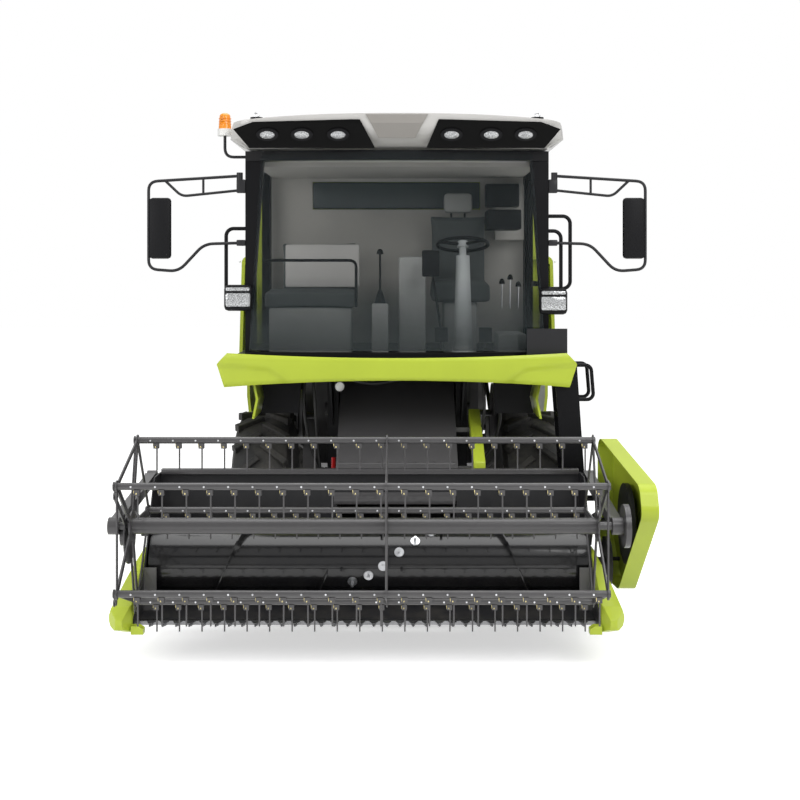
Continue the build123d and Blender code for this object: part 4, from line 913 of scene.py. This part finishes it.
# %% [markdown]
# ## Mirrors
#
# Each mirror hangs on a loop of round tube in front of the cab's corner. The heads are rounded plastic
# blocks, with the glass on the side towards the driver.

# %% Mirrors
loop_points = ((1.030, -1.172, 2.917), (1.638, -1.260, 2.872), (1.638, -1.260, 2.295),
               (1.445, -1.230, 2.280), (1.280, -1.205, 2.462), (1.030, -1.172, 2.470))
stay_points = ((1.030, -1.176, 2.822), (1.425, -1.229, 2.777), (1.535, -1.245, 2.882))
tubes, heads, glasses = bmesh.new(), bmesh.new(), bmesh.new()
for side in (-1, 1):
    for low, high in ((2.802, 2.892), (2.450, 2.490)):
        add_slab(tubes, (side * 1.010, -1.192, low), (side * 1.068, -1.150, high), 0.006)
    add_rod(tubes, (side * 1.048, -1.172, 2.885), (side * 1.048, -1.172, 2.938), 0.021, 16)
    for points, radius, bend in ((loop_points, 0.010, 0.06), (stay_points, 0.009, 0.04)):
        add_pipe(tubes, [(side * x, y, z) for x, y, z in points], radius, bend)
    add_rod(tubes, (side * 1.285, -1.210, 2.793), (side * 1.285, -1.209, 2.898), 0.008, 12)
    add_slab(heads, (side * 1.488, -1.290, 2.363), (side * 1.632, -1.238, 2.765), 0.022)
    add_slab(glasses, (side * 1.500, -1.2385, 2.378), (side * 1.620, -1.2355, 2.750), 0.001)
    add_rod(heads, (side * 1.638, -1.262, 2.560), (side * 1.610, -1.262, 2.560), 0.017, 16)
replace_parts(finish_piece("mirror_tubes", tubes, black_steel, "chassis"), "mirrors")
finish_piece("mirror_heads", heads, black_plastic, "chassis")
finish_piece("mirror_glasses", glasses, mirror_glass, "chassis")

# %% [markdown]
# ## Auger flights
#
# Two spiral blades feed the crop to the middle, left-handed on one side and right-handed on the other. A
# blade is a short straight edge spun about the auger's axis with a step along it at each turn.

# %% Auger flights
pitch = 0.62
flights = bmesh.new()
# start x, run along x, start angle
for start_x, run, begin in ((-1.478, 1.060, 81), (1.138, -0.740, 59)):
    way = from_axle(math.radians(begin))
    root = Vector((start_x, auger_y, auger_z))
    ends = [flights.verts.new(root + way * out) for out in (0.198, 0.252)]
    blade = flights.edges.new(ends)
    turns = abs(run) / pitch
    steps = int(turns * 40)
    bmesh.ops.spin(flights, geom=[*ends, blade], cent=(0, auger_y, auger_z), axis=(-1, 0, 0),
                   dvec=(run / steps, 0, 0), angle=math.tau * turns, steps=steps, use_merge=False)
bmesh.ops.solidify(flights, geom=flights.faces[:], thickness=0.006)
finish_piece("auger_flights", flights, gloss_black, "auger")

# %% [markdown]
# ## Tyres with lugs
#
# A farm tyre has slanting bars that meet in a broken chevron. The carcass is a profile spun about the axle,
# and every bar is a block turned to its place. The tyre stands in the CAD tyre's space.


# %% Tyres
# share of the width and share of the rise from rim to tread, from bead to crown
carcass = ((0.36, 0), (0.36, 0.10), (0.44, 0.22), (0.49, 0.40), (0.50, 0.55), (0.485, 0.74), (0.44, 0.91),
           (0.32, 0.98), (0.12, 1.0))


def tyre(name, x, y, radius, width, rim_r, lug_count, lug_h, lug_run, lug_w):
    """A carcass spun about the axle, with bars on both sides."""
    bm = bmesh.new()
    tread = radius - lug_h
    half = [(share * width, rim_r + rise * (tread - rim_r)) for share, rise in carcass]
    ring = [*half, *[(-across, out) for across, out in reversed(half)]]
    corners = [bm.verts.new((x + across, y, radius + out)) for across, out in ring]
    edges = [bm.edges.new(pair) for pair in zip(corners, (*corners[1:], corners[0]))]
    bmesh.ops.spin(bm, geom=[*corners, *edges], cent=(x, y, radius), axis=(1, 0, 0), angle=math.tau,
                   steps=72, use_merge=True)
    slant_by = math.radians(40)
    reach = lug_run / 2 * math.sin(slant_by) + lug_w / 2 * math.cos(slant_by)
    half_step = math.pi / lug_count
    face_r = (radius - reach * math.sin(half_step)) / math.cos(half_step)
    for count in range(lug_count):
        for side in (-1, 1):
            turn = math.tau / lug_count * (count + (0.5 if side == 1 else 0)) - math.pi / 2
            away = from_axle(turn)
            along = Vector((0, -away.z, away.y))
            slant = Vector((side * math.cos(slant_by), 0, 0)) + along * math.sin(slant_by)
            place = Vector((x + side * width * 0.235, y, radius)) + away * (face_r - lug_h * 0.75)
            turned = frame_at(place, slant, away.cross(slant), away)
            size = Matrix.Diagonal((lug_run, lug_w, lug_h * 1.5, 1))
            made = bmesh.ops.create_cube(bm, size=1.0, matrix=turned @ size)
            outer = [edge for edge in edges_of(made)
                     if all((end.co - place).dot(away) > 0 for end in edge.verts)]
            bmesh.ops.bevel(bm, geom=outer, offset=0.005, segments=1, profile=0.5, affect="EDGES",
                            material=-1)
    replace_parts(finish_piece(f"lugged_tyre_{name}", bm, tyre_rubber, f"wheel_{name}"), f"tyre_{name}")


# x, y, radius, width, rim's radius, lugs to a side, and a lug's height, length and width
front_size = (0.945, -0.420, 0.635, 0.410, 0.305, 18, 0.034, 0.225, 0.044)
rear_size = (0.860, 2.130, 0.400, 0.265, 0.195, 16, 0.022, 0.142, 0.030)
for axle, (x, *sizes) in (("front", front_size), ("rear", rear_size)):
    tyre(f"{axle}_left", x, *sizes)
    tyre(f"{axle}_right", -x, *sizes)

# %% [markdown]
# ## Controls in the cab
#
# The steering column narrows towards a wheel with three spokes, the gear lever leaves a gaiter, and a
# monitor stands on a thin post. Boxes carry the seats, a rail guards the bench, and two dark boxes hang
# behind the driver. The bench has a pale backrest, and the window behind the seats is a dark pane.

# %% Controls
cab_floor = 1.692
boxes, column, blacks, wheel = bmesh.new(), bmesh.new(), bmesh.new(), bmesh.new()
# two corners from above, top, edge: the driver's box, the bench's, two consoles and the gear lever's post
for left_x, front_y, right_x, rear_y, top, edge in (
        (0.330, -0.560, 0.570, -0.300, 2.070, 0.02), (-0.900, -0.720, -0.320, -0.370, 2.030, 0.02),
        (0.010, -0.780, 0.200, -0.420, 2.385, 0.02), (0.700, -0.800, 0.900, -0.400, 1.850, 0.02),
        (-0.175, -0.900, -0.060, -0.760, 2.060, 0.012)):
    add_slab(boxes, (left_x, front_y, cab_floor), (right_x, rear_y, top), edge)
add_rod(column, (0.455, -0.895, cab_floor), (0.455, -0.880, 1.760), 0.085, 32, 0.075)
add_rod(column, (0.455, -0.880, 1.755), (0.455, -0.837, 2.390), 0.066, 32, 0.046)
add_rod(column, (0.455, -0.837, 2.385), (0.455, -0.815, 2.480), 0.024, 24)
tilt = math.radians(14)
way = Vector((0, math.sin(tilt), math.cos(tilt)))
middle = Vector((0.455, -0.820, 2.468))
add_hoop(wheel, middle, way, 0.176, 0.0125, 48, 12)
add_rod(column, middle - way * 0.02, middle + way * 0.022, 0.040, 24, 0.034)
across = way.orthogonal().normalized()
for step in range(3):
    spoke = Matrix.Rotation(math.tau * step / 3 + 0.6, 3, way) @ across
    add_rod(wheel, middle, middle + spoke * 0.172, 0.011, 10)
add_rod(blacks, (-0.118, -0.830, 2.058), (-0.118, -0.830, 2.150), 0.042, 24, 0.014)
add_rod(blacks, (-0.118, -0.830, 2.145), (-0.118, -0.830, 2.410), 0.0075, 12)
add_dome(blacks, (-0.118, -0.830, 2.400), (0, 0, 1), 0.024, 0.038, 16)
add_pipe(blacks, ((0.310, -0.960, 1.700), (0.290, -0.960, 1.95), (0.245, -0.960, 2.240)), 0.008, 0.1)
add_slab(blacks, (0.170, -0.985, 2.245), (0.290, -0.957, 2.425), 0.010)
add_pipe(blacks, ((-0.93, -0.86, 2.357), (-0.283, -0.86, 2.357), (-0.283, -0.86, 2.035)), 0.010, 0.05)
add_slab(blacks, (0.640, -0.640, 2.58), (0.880, -0.30, 2.72), 0.01)
add_slab(blacks, (0.655, -0.250, 2.76), (0.900, -0.08, 2.93), 0.01)
for x in (0.40, 0.50):
    add_rod(blacks, (x, -0.19, 2.66), (x, -0.19, 2.76), 0.007, 8)
add_slab(boxes, (0.345, -0.235, 2.715), (0.555, -0.155, 2.862), 0.03)
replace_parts(finish_piece("cab_boxes", boxes, cab_trim, "chassis"), "cab_controls")
finish_piece("steering_column", column, column_grey, "chassis")
finish_piece("steering_wheel", wheel, black_plastic, "chassis")
backrest, rear_pane = bmesh.new(), bmesh.new()
add_slab(backrest, (-0.815, -0.372, 2.165), (-0.275, -0.335, 2.480), 0.016)
add_slab(rear_pane, (-0.636, -0.034, 2.757), (0.622, -0.008, 2.953), 0.012)
finish_piece("bench_backrest", backrest, bench_fabric, "chassis")
finish_piece("rear_window", rear_pane, window_dark, "chassis")
finish_piece("levers_and_monitor", blacks, black_plastic, "chassis")

# %% [markdown]
# ## Feeder ribs, guards and belts
#
# Ribs stiffen the feeder house, flanges close the table's ends, and a lime guard covers the belt that
# drives the header. A beam crosses the top of the header, a small red bottle hangs beside the feeder
# house, and rubber belts run between the pulleys on both sides of the machine.

# %% Feeder ribs, flanges, guard and beam
ribs, guard = bmesh.new(), bmesh.new()
for share in (0.10, 0.28, 0.46, 0.64, 0.82):
    y, z = -1.555 + share * 0.95, 0.852 + share * 0.578
    add_rod(ribs, (-0.388, y, z), (0.388, y, z), 0.013, 8)
    add_bolts(ribs, (-0.37, y, z + 0.012), (0.37, y, z + 0.012), 7, (0, -0.5, 1), 0.007)
for low_x, high_x in ((-1.502, -1.425), (1.085, 1.162)):
    add_slab(ribs, (low_x, -2.125, 0.255), (high_x, -2.117, 0.52))
add_cut_block(guard, (0.495, -1.46, 0.93), (0.572, -0.77, 1.34),
              ("yz", ((-1.455, 0.945), (-1.455, 1.050), (-0.820, 1.330), (-0.780, 1.240))), bevel=0.008)
for y, z in ((-1.40, 1.00), (-0.95, 1.20)):
    add_slab(ribs, (0.400, y - 0.015, z - 0.015), (0.500, y + 0.015, z + 0.015))
finish_piece("feeder_ribs", ribs, dark_steel, "feeder")
finish_piece("belt_guard", guard, lime, "feeder")
beam, bottle = bmesh.new(), bmesh.new()
add_slab(beam, (-1.490, -1.618, 0.996), (1.150, -1.574, 1.030), 0.004)
add_slab(beam, (-0.400, -1.580, 0.800), (0.373, -1.572, 0.876), 0.001)
add_rod(bottle, (-0.426, -1.09, 0.935), (-0.426, -1.09, 1.030), 0.018, 16, 0.015)
finish_piece("header_beam", beam, reel_steel, "feeder")
finish_piece("red_bottle", bottle, red_lens, "chassis")


# %% Belts
def belt_route(first, second, x):
    """Points round two pulleys, each given as (y, z, radius)."""
    route = []
    gap = Vector((second[0] - first[0], second[1] - first[1]))
    facing = math.atan2(gap.y, gap.x)
    lag = math.acos((first[2] - second[2]) / gap.length)
    arcs = ((first, facing + lag, math.tau - 2 * lag), (second, facing - lag, 2 * lag))
    for (y, z, radius), begin, span in arcs:
        for step in range(17):
            route.append(Vector((x, y, z)) + from_axle(begin + span * step / 16) * radius)
    return route


belts = bmesh.new()
# two belts lie side by side; each pulley is y, z and the radius that a belt's middle runs at
for x in (0.770, 0.785):
    for first, second, belt_x in (((0.330, 1.180, 0.236), (1.050, 0.980, 0.116), x),
                                  ((1.050, 0.980, 0.116), (2.150, 1.250, 0.266), x),
                                  ((0.390, 1.150, 0.211), (1.250, 0.900, 0.126), -x)):
        sweep(belts, belt_route(first, second, belt_x), 0.010, 8, (1, 0, 0), closed=True)
finish_piece("drive_belts", belts, black_rubber, "chassis")

# %% [markdown]
# ## The studio
#
# The machine stands on a pale floor under soft light. The floor and backdrop show as white because
# what the camera sees of them is set apart from what lights the machine.

# %% Floor
bpy.ops.mesh.primitive_plane_add(size=90)
floor = bpy.context.object
floor.name = "floor"
floor_finish = Finish("floor")
seen, through, shine = floor_finish.rays()
glow = floor_finish.blend(seen + through + shine, (0, 0, 0, 1), (1, 1, 1, 1))
floor_finish.set(Base_Color=(0.86, 0.86, 0.86, 1), Roughness=0.9, Specular_IOR_Level=0.0,
                 Emission_Color=glow, Emission_Strength=0.56)
floor.data.materials.append(floor_finish.material)
floor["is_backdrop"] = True

# %% World and lamps
sky = Finish("studio", bpy.data.worlds, "Background")
seen, through, shine = sky.rays()
# white where it is seen, dimmer in a shine, and dimmest where it only lights the machine
level = seen.apply("MAXIMUM", through).apply("MAXIMUM", shine * 0.75).apply("MAXIMUM", 0.55)
bpy.context.scene.world = sky.set(Color=(1, 1, 1, 1), Strength=level)


def soft_lamp(name, place, aim, size, power):
    """An area lamp at a place, turned to its aim."""
    data = bpy.data.lights.new(name, "AREA")
    data.shape = "RECTANGLE"
    data.size, data.size_y = size
    data.energy = power
    lamp = linked(name, data)
    lamp.location = place
    lamp.rotation_euler = (Vector(aim) - Vector(place)).to_track_quat("-Z", "Y").to_euler()


soft_lamp("key", (4.5, -8.0, 6.5), (0, -1.2, 1.2), (5, 4), 340)
soft_lamp("fill", (-6.5, -6.5, 4.0), (0, -1.0, 1.2), (5, 4), 220)
soft_lamp("top", (0, -0.5, 8.5), (0, -0.5, 0), (6, 9), 480)

# %% Camera
camera_data = bpy.data.cameras.new("camera")
camera = linked("camera", camera_data)
bpy.context.scene.camera = camera
camera.location = (0.02, -9.82, 2.256)
camera.rotation_euler = (math.radians(90), 0, 0)
camera_data.shift_y = -0.15625
camera_data.lens = 58.4
camera_data.sensor_width = 36
bpy.context.scene.view_settings.view_transform = "Standard"

# %% Finish
boxes = {"cad": cad_box, "visual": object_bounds()}
